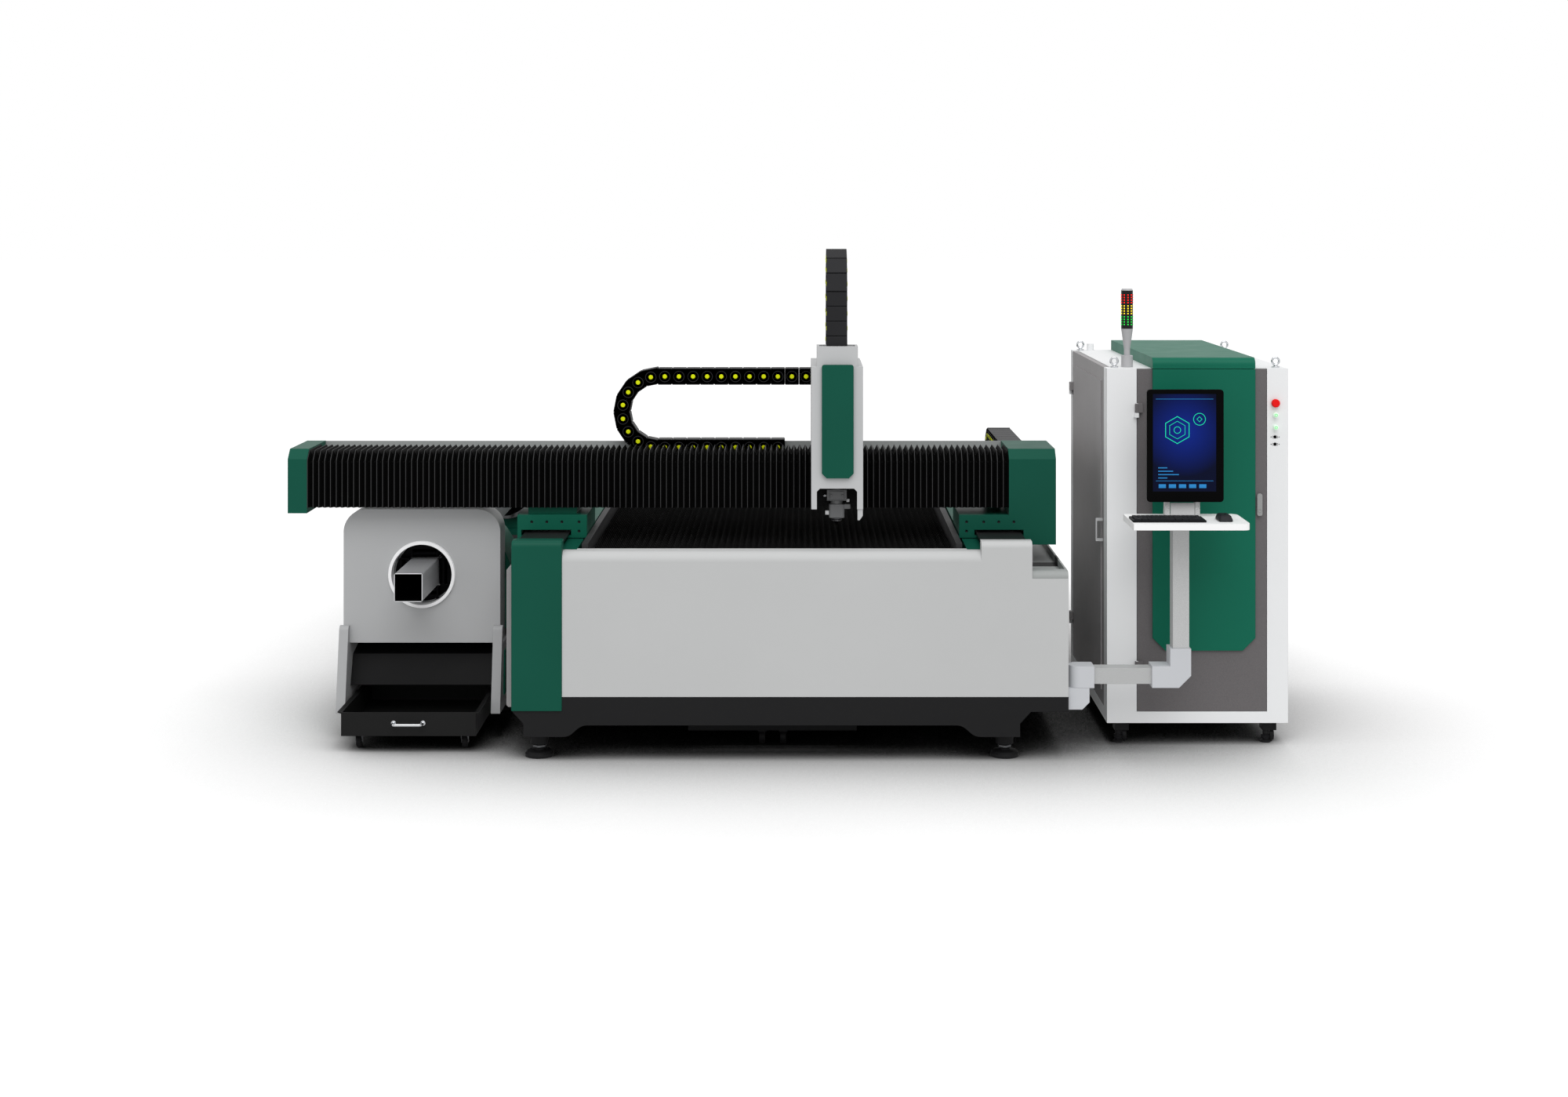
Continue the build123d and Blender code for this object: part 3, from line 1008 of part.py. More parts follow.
# Laser source, its power unit and its chiller inside the cabinet
with BuildPart() as laser_source:
    x = (CABINET_LEFT + 110, CABINET_RIGHT - 110)
    low = CABINET_LOW + SILL - 1 + FIT
    block(x, (CABINET_FRONT + 330, CABINET_REAR - 120), (low, low + 500))
    block(x, (CABINET_FRONT + 330, CABINET_REAR - 120), (low + 500, low + 760))
    chamfer(laser_source.edges().filter_by(Axis.Y).group_by(Axis.Z)[-1], 12)
    for z in (120, 220, 320, 420):
        block((x[0] + 60, x[1] - 60), (CABINET_FRONT + 329, CABINET_FRONT + 334),
              (low + z, low + z + 30), Mode.SUBTRACT)
finish(laser_source, "laser_source")

LATCH = (CABINET_RIGHT - 124, 1060)
with BuildPart() as front_door:
    leaf = (DOOR_X[0] + 2, DOOR_X[1] - 2)
    block(leaf, (CABINET_FRONT + 1, CABINET_FRONT + 25), DOOR_Z)
    along([(BAND_X[0] + 54, 405), (BAND_X[1] - 54, 405), (BAND_X[1], 459),
           (BAND_X[1], DOOR_Z[1]), (BAND_X[0], DOOR_Z[1]), (BAND_X[0], 459)],
          (CABINET_FRONT - PANEL_PROUD, CABINET_FRONT + 1))
    y = CABINET_FRONT - HINGE_OUT
    for z in HINGES:
        block((DOOR_X[0] - 2, DOOR_X[0] + 24), (y - 8, y + 8), (z + 21, z + 59))
        block((DOOR_X[0] + 10, DOOR_X[0] + 24), (y - 8, y + 10), (z + 21, z + 59))
        rod(Z, (DOOR_X[0], y, z + 21), HINGE_OUT, 38)
        rod(Z, (DOOR_X[0], y, z + 20), HINGE_PIN + 0.4, 40, Mode.SUBTRACT)
    rod(Y, (LATCH[0], CABINET_FRONT, LATCH[1]), 8.4, 26, Mode.SUBTRACT)
finish(front_door, "front_door")

with BuildPart() as side_door:
    x, y = SIDE_PIN
    block((CABINET_LEFT + 1, CABINET_LEFT + 24), (CABINET_FRONT + 93, CABINET_REAR - 64), DOOR_Z)
    for z in HINGES:
        block((x - 8, CABINET_LEFT + 1), (y - 34, y - 12), (z + 21, z + 59))
        block((x - 8, x + 8), (y - 14, y), (z + 21, z + 59))
        rod(Z, (x, y, z + 21), HINGE_OUT, 38)
        rod(Z, (x, y, z + 20), HINGE_PIN + 0.4, 40, Mode.SUBTRACT)
# The stiffening plate and the bow handle bolted to it are solids of their own in the same file
with BuildPart() as side_plate:
    block((CABINET_LEFT - 5, CABINET_LEFT + 1), (CABINET_FRONT + 150, CABINET_REAR - 130),
          (DOOR_Z[0] + 60, DOOR_Z[1] - 60))
HANDLE_Y = (CABINET_FRONT + 125, CABINET_FRONT + 137)
with BuildPart() as side_handle:
    block((CABINET_LEFT - 30, CABINET_LEFT + 1), HANDLE_Y, (850, 950))
    block((CABINET_LEFT - 24, CABINET_LEFT + 1), HANDLE_Y, (862, 938), Mode.SUBTRACT)
    fillet(side_handle.edges().filter_by(Axis.Y).group_by(Axis.X)[0], 4)
door_pieces = [side_door.part, side_plate.part, side_handle.part]
export_step(Compound(label="side_door", children=door_pieces), "parts/side_door.step")

LEVER = 11  # half its width
with BuildPart() as front_latch:
    rod(Y, (LATCH[0], CABINET_FRONT - 4, LATCH[1]), 8, 28)
    along([(LATCH[0] - LEVER, LATCH[1] - 79), (LATCH[0] + LEVER, LATCH[1] - 79),
           (LATCH[0] + LEVER, LATCH[1] + 16), (LATCH[0] - LEVER, LATCH[1] + 16)],
          (CABINET_FRONT - 16, CABINET_FRONT - 2), rounds={0: 8, 1: 8, 2: 10, 3: 10})
finish(front_latch, "front_latch")

for label, (z, radius) in BUTTONS.items():
    with BuildPart() as button:
        turned(Y, (BUTTON_X, CABINET_FRONT, z), [(0, -22), (radius - 3, -22), (radius, -17),
                                                 (radius, -8), (8, -8), (8, 24), (0, 24)])
    finish(button, label)

# Control panel: socket on the trough, arm with two elbows, post with its tray, monitor
ELBOW = 45
with BuildPart() as arm_base:
    block((TROUGH_OUT + FIT, ARM_X + 40), (ARM_Y - ELBOW, ARM_Y + ELBOW), (211, 300))
    chamfer(arm_base.edges().filter_by(Axis.Y).group_by(Axis.X)[-1].group_by(Axis.Z)[0], 30)
    rod(Z, (ARM_X, ARM_Y, 300), 20, 40)
finish(arm_base, "arm_base")

POST_X = ARM_X + 422
with BuildPart() as swing_arm:
    block((ARM_X, ARM_X + 60), (ARM_Y - ELBOW, ARM_Y + ELBOW), (300 + FIT, 390))
    rod(Z, (ARM_X, ARM_Y, 300 + FIT), ELBOW, 90 - FIT)
    rod(Z, (ARM_X, ARM_Y, 299), 20.5, 42, Mode.SUBTRACT)
    half = ARM_TUBE / 2
    block((ARM_X + 60, POST_X - 102), (ARM_Y - half, ARM_Y + half), (315, 315 + ARM_TUBE))
    along([(POST_X - 122, 301), (POST_X - 10, 301), (POST_X + 40, 351), (POST_X + 40, 463),
           (POST_X - 47, 463), (POST_X - 47, 391), (POST_X - 122, 391)],
          (ARM_Y - ELBOW, ARM_Y + ELBOW))
    rod(Z, (POST_X, ARM_Y, 463), 22, 40)
finish(swing_arm, "swing_arm")

TRAY_X = (POST_X - 228, POST_X + 248)
TRAY_THICK = 26
with BuildPart() as panel_post:
    half = ARM_TUBE / 2 + 1
    block((POST_X - half, POST_X + half), (ARM_Y - half, ARM_Y + half), (463 + FIT, 984))
    rod(Z, (POST_X, ARM_Y, 462), 22.5, 42, Mode.SUBTRACT)
    upward([(TRAY_X[0], TRAY_FRONT), (TRAY_X[1], TRAY_FRONT), (TRAY_X[1], 110),
            (TRAY_X[0], 110)], (984, 984 + TRAY_THICK), rounds={1: 30, 2: 30})
    for side in (-1, 1):
        inner, outer = sorted((POST_X + 10 + side * 52, POST_X + 10 + side * 73))
        across([(47, 1010), (47, 1120), (66, 1120), (90, 1010)], (inner, outer))
    rod(X, (POST_X + 10 - 73, 54, 1105), 8, 146)
finish(panel_post, "panel_post")

MONITOR_X = (POST_X - 144, POST_X + 175)
MONITOR_Z = (1073, 1540)
with BuildPart() as monitor:
    block(MONITOR_X, (14, 28), MONITOR_Z)
    fillet(monitor.edges().filter_by(Axis.Y), 14)
    block((MONITOR_X[0] + 14, MONITOR_X[1] - 14), (28, 40), (MONITOR_Z[0] + 14, MONITOR_Z[1] - 14))
    block((MONITOR_X[0] + 25, MONITOR_X[1] - 31), (13, 16), (1117, MONITOR_Z[1] - 18),
          Mode.SUBTRACT)
    block((POST_X - 38, POST_X + 58), (40, 66), (1085, 1125))
    rod(X, (POST_X - 39, 54, 1105), 8.4, 98, Mode.SUBTRACT)
finish(monitor, "monitor")

with BuildPart() as keyboard_set:
    top = 984 + TRAY_THICK
    keys = (TRAY_X[0] + 4, TRAY_X[0] + 299)
    across([(-130, top), (-130, top + 10), (-10, top + 18), (-10, top)], keys)
    for row in range(4):
        y = -122 + row * 27
        across([(y, top + 9), (y, top + 14), (y + 20, top + 16), (y + 20, top + 9)],
               (keys[0] + 10, keys[1] - 10))
    mouse = (TRAY_X[1] - 126, TRAY_X[1] - 58)
    upward([(mouse[0], -130), (mouse[1], -130), (mouse[1], -25), (mouse[0], -25)],
           (top, top + 26), rounds={0: 26, 1: 26, 2: 30, 3: 30})
    fillet(keyboard_set.edges().group_by(Axis.Z)[-1], 8)
finish(keyboard_set, "keyboard_set")
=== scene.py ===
"""Looks of the fiber laser cutting machine: a finish for every part, and the fine pieces on them.

Places are millimetres from the bed: across from its centre line, back from its front panel, and
up from the floor."""
import math

import bpy
from mathutils import Matrix, Vector
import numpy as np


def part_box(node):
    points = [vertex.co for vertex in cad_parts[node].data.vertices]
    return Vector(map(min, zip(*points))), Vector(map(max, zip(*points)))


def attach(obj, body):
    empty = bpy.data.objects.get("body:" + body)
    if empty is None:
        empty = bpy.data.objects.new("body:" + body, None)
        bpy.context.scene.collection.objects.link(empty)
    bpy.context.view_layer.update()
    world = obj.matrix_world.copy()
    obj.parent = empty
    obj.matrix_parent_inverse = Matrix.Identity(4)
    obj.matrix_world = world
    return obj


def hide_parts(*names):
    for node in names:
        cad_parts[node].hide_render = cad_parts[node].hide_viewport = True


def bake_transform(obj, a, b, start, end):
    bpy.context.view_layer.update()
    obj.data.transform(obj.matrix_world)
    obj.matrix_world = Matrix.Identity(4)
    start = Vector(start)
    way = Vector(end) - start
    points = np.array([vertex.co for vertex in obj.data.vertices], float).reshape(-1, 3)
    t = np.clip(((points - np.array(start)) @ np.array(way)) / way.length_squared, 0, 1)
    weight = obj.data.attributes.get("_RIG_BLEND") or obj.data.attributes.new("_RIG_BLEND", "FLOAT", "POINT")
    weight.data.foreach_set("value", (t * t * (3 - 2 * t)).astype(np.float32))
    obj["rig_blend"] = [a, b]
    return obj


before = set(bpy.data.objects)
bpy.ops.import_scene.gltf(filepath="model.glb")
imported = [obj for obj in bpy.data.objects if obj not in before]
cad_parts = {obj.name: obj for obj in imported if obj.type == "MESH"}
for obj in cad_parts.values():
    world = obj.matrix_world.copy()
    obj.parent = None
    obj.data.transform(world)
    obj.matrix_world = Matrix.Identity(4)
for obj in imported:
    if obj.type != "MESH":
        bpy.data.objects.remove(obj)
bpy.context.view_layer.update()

bpy.ops.object.select_all(action="DESELECT")

# Places in the bed's own millimetres, worked out from the frame
MM = 0.001
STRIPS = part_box("rail_covers")
BED_X = (STRIPS[0].x + STRIPS[1].x) / 2  # centre line of the bed
BED_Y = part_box("front_panel")[0].y  # front plane of the bed


def span(node):
    """A part's ranges along X, Y and Z."""
    low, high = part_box(node)
    return [((a - zero) / MM, (b - zero) / MM) for a, b, zero in zip(low, high, (BED_X, BED_Y, 0))]


def middle(limits):
    """The middle of a range."""
    return (limits[0] + limits[1]) / 2


def spot(x, y, z):
    """A place on the bed, carried into the frame."""
    return Vector((BED_X + x * MM, BED_Y + y * MM, z * MM))


HEAD_X, NOZZLE_Y = middle(span("nozzle")[0]), middle(span("nozzle")[1])
TUBE_X, TUBE_Z = middle(span("workpiece_tube")[0]), middle(span("workpiece_tube")[2])
COVER_HALF = 97  # from a guide rail to the outer edge of its cover strip
RAIL_X = span("rail_covers")[0][1] - COVER_HALF
BAND_PROUD = 10  # the raised band stands out this far from the cabinet's front
CABINET = span("cabinet_roof")
CABINET_FRONT = CABINET[1][0] + BAND_PROUD
CABINET_TOP = CABINET[2][0]
BUTTON_X = middle(span("e_stop")[0])


# Modelling helpers
def deselect():
    """Nothing is selected and no mode is open."""
    if bpy.context.object and bpy.context.object.mode != "OBJECT":
        bpy.ops.object.mode_set(mode="OBJECT")
    bpy.ops.object.select_all(action="DESELECT")


def pick(*things):
    """Only these pieces are selected, the first of them active."""
    deselect()
    for thing in things:
        thing.select_set(True)
    bpy.context.view_layer.objects.active = things[0]


def settle(thing):
    """Puts a piece's place into its mesh."""
    pick(thing)
    bpy.ops.object.transform_apply(location=True, rotation=True, scale=True)
    return thing


def slab(name, x, y, z):
    """A block between two places on each axis of the bed."""
    low, high = spot(x[0], y[0], z[0]), spot(x[1], y[1], z[1])
    deselect()
    bpy.ops.mesh.primitive_cube_add(size=1, location=(low + high) / 2)
    thing = bpy.context.object
    thing.name = name
    thing.scale = high - low
    return settle(thing)


def stick(name, place, axis, radius, length, sides=24):
    """A round rod from a place on the bed along an axis."""
    deselect()
    axis = Vector(axis).normalized()
    turn = Vector((0, 0, 1)).rotation_difference(axis).to_euler()
    bpy.ops.mesh.primitive_cone_add(vertices=sides, radius1=radius * MM, radius2=radius * MM,
                                    depth=length * MM, rotation=turn,
                                    location=spot(*place) + axis * length * MM / 2)
    thing = bpy.context.object
    thing.name = name
    return settle(thing)


def hoop(name, place, axis, radius, thick, sides=28, small=8):
    """A round ring about an axis at a place on the bed."""
    deselect()
    turn = Vector((0, 0, 1)).rotation_difference(Vector(axis)).to_euler()
    bpy.ops.mesh.primitive_torus_add(major_radius=radius * MM, minor_radius=thick * MM,
                                     major_segments=sides, minor_segments=small,
                                     location=spot(*place), rotation=turn)
    thing = bpy.context.object
    thing.name = name
    return settle(thing)


def choose_faces(thing, test):
    """Opens a piece for editing with the faces that pass a test of their middle and normal."""
    pick(thing)
    bpy.ops.object.mode_set(mode="EDIT")
    bpy.ops.mesh.select_mode(type="FACE")
    bpy.ops.mesh.select_all(action="DESELECT")
    bpy.ops.object.mode_set(mode="OBJECT")
    for face in thing.data.polygons:
        face.select = bool(test(face.center, face.normal))
    bpy.ops.object.mode_set(mode="EDIT")


def choose_edges(thing, test):
    """Opens a piece for editing with the edges that pass a test of their middle and direction."""
    pick(thing)
    bpy.ops.object.mode_set(mode="EDIT")
    bpy.ops.mesh.select_mode(type="EDGE")
    bpy.ops.mesh.select_all(action="DESELECT")
    bpy.ops.object.mode_set(mode="OBJECT")
    corners = thing.data.vertices
    for edge in thing.data.edges:
        a, b = (corners[number].co for number in edge.vertices)
        edge.select = bool(test((a + b) / 2, (b - a).normalized()))
    bpy.ops.object.mode_set(mode="EDIT")


def inset(thing, test, width, depth=0.0):
    """Insets the faces that pass a test, each by itself, and pushes them in or out."""
    choose_faces(thing, test)
    bpy.ops.mesh.inset(thickness=width * MM, depth=depth * MM, use_individual=True)
    bpy.ops.object.mode_set(mode="OBJECT")
    return thing


def modify(thing, kind, **values):
    """Adds a modifier, sets it and applies it."""
    pick(thing)
    change = thing.modifiers.new(kind.lower(), kind)
    for key, value in values.items():
        setattr(change, key, value)
    bpy.ops.object.modifier_apply(modifier=change.name)
    return thing


def rounded(thing, width, segments=2):
    """Rounds the sharp edges of a piece."""
    return modify(thing, "BEVEL", width=width * MM, segments=segments, limit_method="ANGLE")


def repeated(thing, count, step):
    """A row of copies at even steps, merged where they meet."""
    return modify(thing, "ARRAY", count=count, use_relative_offset=False, use_constant_offset=True,
                  constant_offset_displace=Vector(step) * MM, use_merge_vertices=True,
                  merge_threshold=0.00001)


def joined(name, things):
    """Several pieces as one mesh."""
    pick(*things)
    if len(things) > 1:
        bpy.ops.object.join()
    thing = bpy.context.object
    thing.name = name
    return thing


def copied(name, thing, moves):
    """Copies of a pattern piece at each move, as one mesh; the pattern itself goes."""
    twins = []
    for move in moves:
        twin = thing.copy()
        twin.data = thing.data.copy()
        twin.data.transform(move)
        bpy.context.collection.objects.link(twin)
        twins.append(twin)
    bpy.data.objects.remove(thing)
    return joined(name, twins)


def drawn(name, points, depth):
    """A flat outline of bed places, filled and pushed by a depth along the bed's axes."""
    deselect()
    bpy.ops.mesh.primitive_circle_add(vertices=len(points), fill_type="NGON")
    thing = bpy.context.object
    thing.name = name
    for corner, point in zip(thing.data.vertices, points):
        corner.co = spot(*point)
    bpy.ops.object.mode_set(mode="EDIT")
    bpy.ops.mesh.select_all(action="SELECT")
    bpy.ops.mesh.extrude_region_move(TRANSFORM_OT_translate={"value": Vector(depth) * MM})
    bpy.ops.mesh.select_all(action="SELECT")
    bpy.ops.mesh.normals_make_consistent(inside=False)
    bpy.ops.object.mode_set(mode="OBJECT")
    return thing


def about(place, axis, angle):
    """A turn about an axis through a place on the bed."""
    centre = Matrix.Translation(spot(*place))
    return centre @ Matrix.Rotation(angle, 4, Vector(axis)) @ centre.inverted()


def raised(high):
    """A move upward."""
    return Matrix.Translation(Vector((0, 0, high)) * MM)


def smooth(thing, degrees=35):
    """Smooth shading up to an angle."""
    pick(thing)
    bpy.ops.object.shade_smooth_by_angle(angle=math.radians(degrees))
    return thing


# Material helpers
SOFT_EDGE = 2.5  # an edge catches the light as if rounded by this much


def linear(colour):
    """A screen colour of 0 to 255 as linear values."""
    return [((v / 255) / 12.92 if v / 255 < 0.04045 else ((v / 255 + 0.055) / 1.055) ** 2.4)
            for v in colour] + [1.0]


def material(name):
    """A new material, its nodes, its links and its shader."""
    finish = bpy.data.materials.new(name)
    finish.use_nodes = True
    nodes = finish.node_tree.nodes
    return finish, nodes, finish.node_tree.links, nodes["Principled BSDF"]


def mixed(nodes, links, factor, one, two):
    """A mix of two colours, each given as a colour or a socket."""
    mix = nodes.new("ShaderNodeMix")
    mix.data_type = "RGBA"
    links.new(factor, mix.inputs[0])
    for socket, value in ((mix.inputs[6], one), (mix.inputs[7], two)):
        if isinstance(value, (list, tuple)):
            socket.default_value = value
        else:
            links.new(value, socket)
    return mix.outputs[2]


def place_on_piece(nodes):
    """Object coordinates, made once in each material."""
    known = [node for node in nodes if node.bl_idname == "ShaderNodeTexCoord"]
    return (known[0] if known else nodes.new("ShaderNodeTexCoord")).outputs["Object"]


def cloud(nodes, links, scale, detail=2.0, rough=0.5, stretch=None):
    """Noise on object coordinates."""
    place = place_on_piece(nodes)
    noise = nodes.new("ShaderNodeTexNoise")
    noise.inputs["Scale"].default_value = scale
    noise.inputs["Detail"].default_value = detail
    noise.inputs["Roughness"].default_value = rough
    if stretch:
        mapping = nodes.new("ShaderNodeMapping")
        mapping.inputs["Scale"].default_value = stretch
        links.new(place, mapping.inputs["Vector"])
        place = mapping.outputs["Vector"]
    links.new(place, noise.inputs["Vector"])
    return noise.outputs["Fac"]


def ramp(nodes, links, value, low, high, to_low=0.0, to_high=1.0):
    """A value between low and high carried to another range."""
    change = nodes.new("ShaderNodeMapRange")
    for key, number in (("From Min", low), ("From Max", high), ("To Min", to_low),
                        ("To Max", to_high)):
        change.inputs[key].default_value = number
    links.new(value, change.inputs["Value"])
    return change.outputs["Result"]


def math_node(nodes, links, kind, *values):
    """A math node on sockets and plain numbers."""
    sums = nodes.new("ShaderNodeMath")
    sums.operation = kind
    for socket, value in zip(sums.inputs, values):
        if isinstance(value, (int, float)):
            socket.default_value = value
        else:
            links.new(value, socket)
    return sums.outputs["Value"]


def bump(nodes, links, shader, height, strength, distance):
    """Bump from a height, over edges that catch the light as if rounded."""
    lift = nodes.new("ShaderNodeBump")
    lift.inputs["Strength"].default_value = strength
    lift.inputs["Distance"].default_value = distance
    links.new(height, lift.inputs["Height"])
    soft = nodes.new("ShaderNodeBevel")
    soft.samples = 4
    soft.inputs["Radius"].default_value = SOFT_EDGE * MM
    links.new(soft.outputs["Normal"], lift.inputs["Normal"])
    links.new(lift.outputs["Normal"], shader.inputs["Normal"])


def paler(colour, share):
    """A linear colour made lighter, or darker with a negative share."""
    return [min(1.0, v * (1 + share)) for v in colour[:3]] + [1.0]


def paint(name, colour, rough=0.45, variation=0.05, peel=0.06, shine=0.12, fleck=0.0):
    """Powder coat: faint cloudy tone, uneven gloss, a fine orange peel, and flecks if asked."""
    finish, nodes, links, shader = material(name)
    base = linear(colour)
    tone = ramp(nodes, links, cloud(nodes, links, 1.7, 4.0), 0.3, 0.7)
    shade = mixed(nodes, links, tone, paler(base, -variation), paler(base, variation))
    if fleck:
        grain = ramp(nodes, links, cloud(nodes, links, 380.0, 2.0, 0.7), 0.45, 0.6)
        shade = mixed(nodes, links, math_node(nodes, links, "MULTIPLY", grain, fleck), shade,
                      paler(base, -0.5))
    links.new(shade, shader.inputs["Base Color"])
    links.new(ramp(nodes, links, cloud(nodes, links, 9.0, 3.0), 0, 1, rough - 0.05, rough + 0.06),
              shader.inputs["Roughness"])
    shader.inputs["Specular IOR Level"].default_value = shine
    bump(nodes, links, shader, cloud(nodes, links, 900.0, 2.0), peel, 0.0004)
    return finish


def metal(name, colour, rough=0.3, stretch=(1, 1, 1), grain=240.0, strength=0.08, variation=0.12,
          metallic=1.0):
    """Bare metal with a drawn or ground grain."""
    finish, nodes, links, shader = material(name)
    base = linear(colour)
    lines = cloud(nodes, links, grain, 3.0, 0.6, stretch)
    tone = ramp(nodes, links, lines, 0.3, 0.7)
    links.new(mixed(nodes, links, tone, paler(base, -variation), paler(base, variation)),
              shader.inputs["Base Color"])
    links.new(ramp(nodes, links, tone, 0, 1, rough * 0.8, rough * 1.25),
              shader.inputs["Roughness"])
    shader.inputs["Metallic"].default_value = metallic
    shader.inputs["Specular IOR Level"].default_value = 0.2
    bump(nodes, links, shader, lines, strength, 0.0003)
    return finish


def moulded(name, colour, rough=0.5, grain=0.05, variation=0.04, shine=0.12):
    """Moulded plastic, rubber or coated cloth with a fine grain."""
    finish, nodes, links, shader = material(name)
    base = linear(colour)
    tone = ramp(nodes, links, cloud(nodes, links, 6.0, 3.0), 0.3, 0.7)
    links.new(mixed(nodes, links, tone, paler(base, -variation), paler(base, variation)),
              shader.inputs["Base Color"])
    shader.inputs["Roughness"].default_value = rough
    shader.inputs["Specular IOR Level"].default_value = shine
    bump(nodes, links, shader, cloud(nodes, links, 1400.0, 2.0), grain, 0.0002)
    return finish


def lit(name, colour, strength):
    """A lamp lens or a sign on the screen that glows."""
    finish, nodes, links, shader = material(name)
    base = linear(colour)
    tone = ramp(nodes, links, cloud(nodes, links, 300.0, 1.0), 0.3, 0.7)
    links.new(mixed(nodes, links, tone, paler(base, -0.15), base), shader.inputs["Base Color"])
    shader.inputs["Emission Color"].default_value = base
    shader.inputs["Emission Strength"].default_value = strength
    shader.inputs["Roughness"].default_value = 0.3
    shader.inputs["Specular IOR Level"].default_value = 0.1
    return finish


def masked(finish, colour, limits, fleck=0.0):
    """Another colour on the part of a finish that lies within limits: a second coat, as on a masked frame,
    or painted shade in a hollow.

    The limits are bed millimetres for X, Y and Z, or a radius round the tube for R."""
    nodes, links = finish.node_tree.nodes, finish.node_tree.links
    shader = nodes["Principled BSDF"]
    parts = nodes.new("ShaderNodeSeparateXYZ")
    links.new(place_on_piece(nodes), parts.inputs["Vector"])
    inside = None
    for axis, (low, high) in limits.items():
        if axis == "R":
            across = math_node(nodes, links, "SUBTRACT", parts.outputs["X"], spot(TUBE_X, 0, 0).x)
            upward = math_node(nodes, links, "SUBTRACT", parts.outputs["Z"], TUBE_Z * MM)
            length = nodes.new("ShaderNodeVectorMath")
            length.operation = "LENGTH"
            both = nodes.new("ShaderNodeCombineXYZ")
            links.new(across, both.inputs["X"])
            links.new(upward, both.inputs["Z"])
            links.new(both.outputs["Vector"], length.inputs[0])
            value, zero = length.outputs["Value"], 0.0
        else:
            value, zero = parts.outputs[axis], {"X": BED_X, "Y": BED_Y, "Z": 0.0}[axis]
        centre, half = zero + (low + high) / 2 * MM, (high - low) / 2 * MM
        hit = math_node(nodes, links, "COMPARE", value, centre, half)
        inside = hit if inside is None else math_node(nodes, links, "MULTIPLY", inside, hit)
    under = shader.inputs["Base Color"].links[0].from_socket
    over = linear(colour)
    if fleck:
        grain = ramp(nodes, links, cloud(nodes, links, 420.0, 2.0, 0.7), 0.42, 0.62)
        over = mixed(nodes, links, grain, paler(over, fleck), paler(over, -fleck))
    links.new(mixed(nodes, links, inside, under, over), shader.inputs["Base Color"])
    return finish


# Places that the finishes and the small pieces share
BAND_X = CABINET[0]
BAND_Z = (400, CABINET_TOP)
BAND_LEFT = 194  # from the door's left edge to the band
CABINET_LEFT = BAND_X[0] - BAND_LEFT
SIDE_HANDLE_Y = (CABINET_FRONT + 120, CABINET_FRONT + 142)
LAMP_BODY_Z = (CABINET_TOP + 166, CABINET_TOP + 330.5)
TRAY_TOP = span("keyboard_set")[2][0]
TRAY_THICK = 26
TRAY_Z = (TRAY_TOP - TRAY_THICK - 0.5, TRAY_TOP + 0.4)
POST_X = middle(span("panel_post")[0]) - 10
ARM_REACH = 422
ARM_X = POST_X - ARM_REACH
ARM_TUBE_X = (ARM_X + 60.5, POST_X - 122.5)  # between the arm's two elbows
BASE_Z = (-10, 267.4)  # the bed is black here, and green above
BEAM_FACE_Y = (300, 400)  # the beam's dark front, behind the bellows
PLATE_PROUD = 5  # raised plates on the cheeks
CHEEK_OUT = middle(span("tube_hood")[0]) - span("tube_cheeks")[0][0] - PLATE_PROUD
SLEEVE_RADIUS = 146
# the chucks are painted near-black within this radius of the tube's axis, as painted shade
CHUCK_DARK_RADIUS = 127
TUBE_INSIDE = 57
TUBE_FRONT = span("workpiece_tube")[1][0]
HEAD_LEFT, HEAD_FRONT, HEAD_BOTTOM = (limits[0] for limits in span("head_housing"))
HEAD_WIDE = 217
HEAD_SHEET = 12

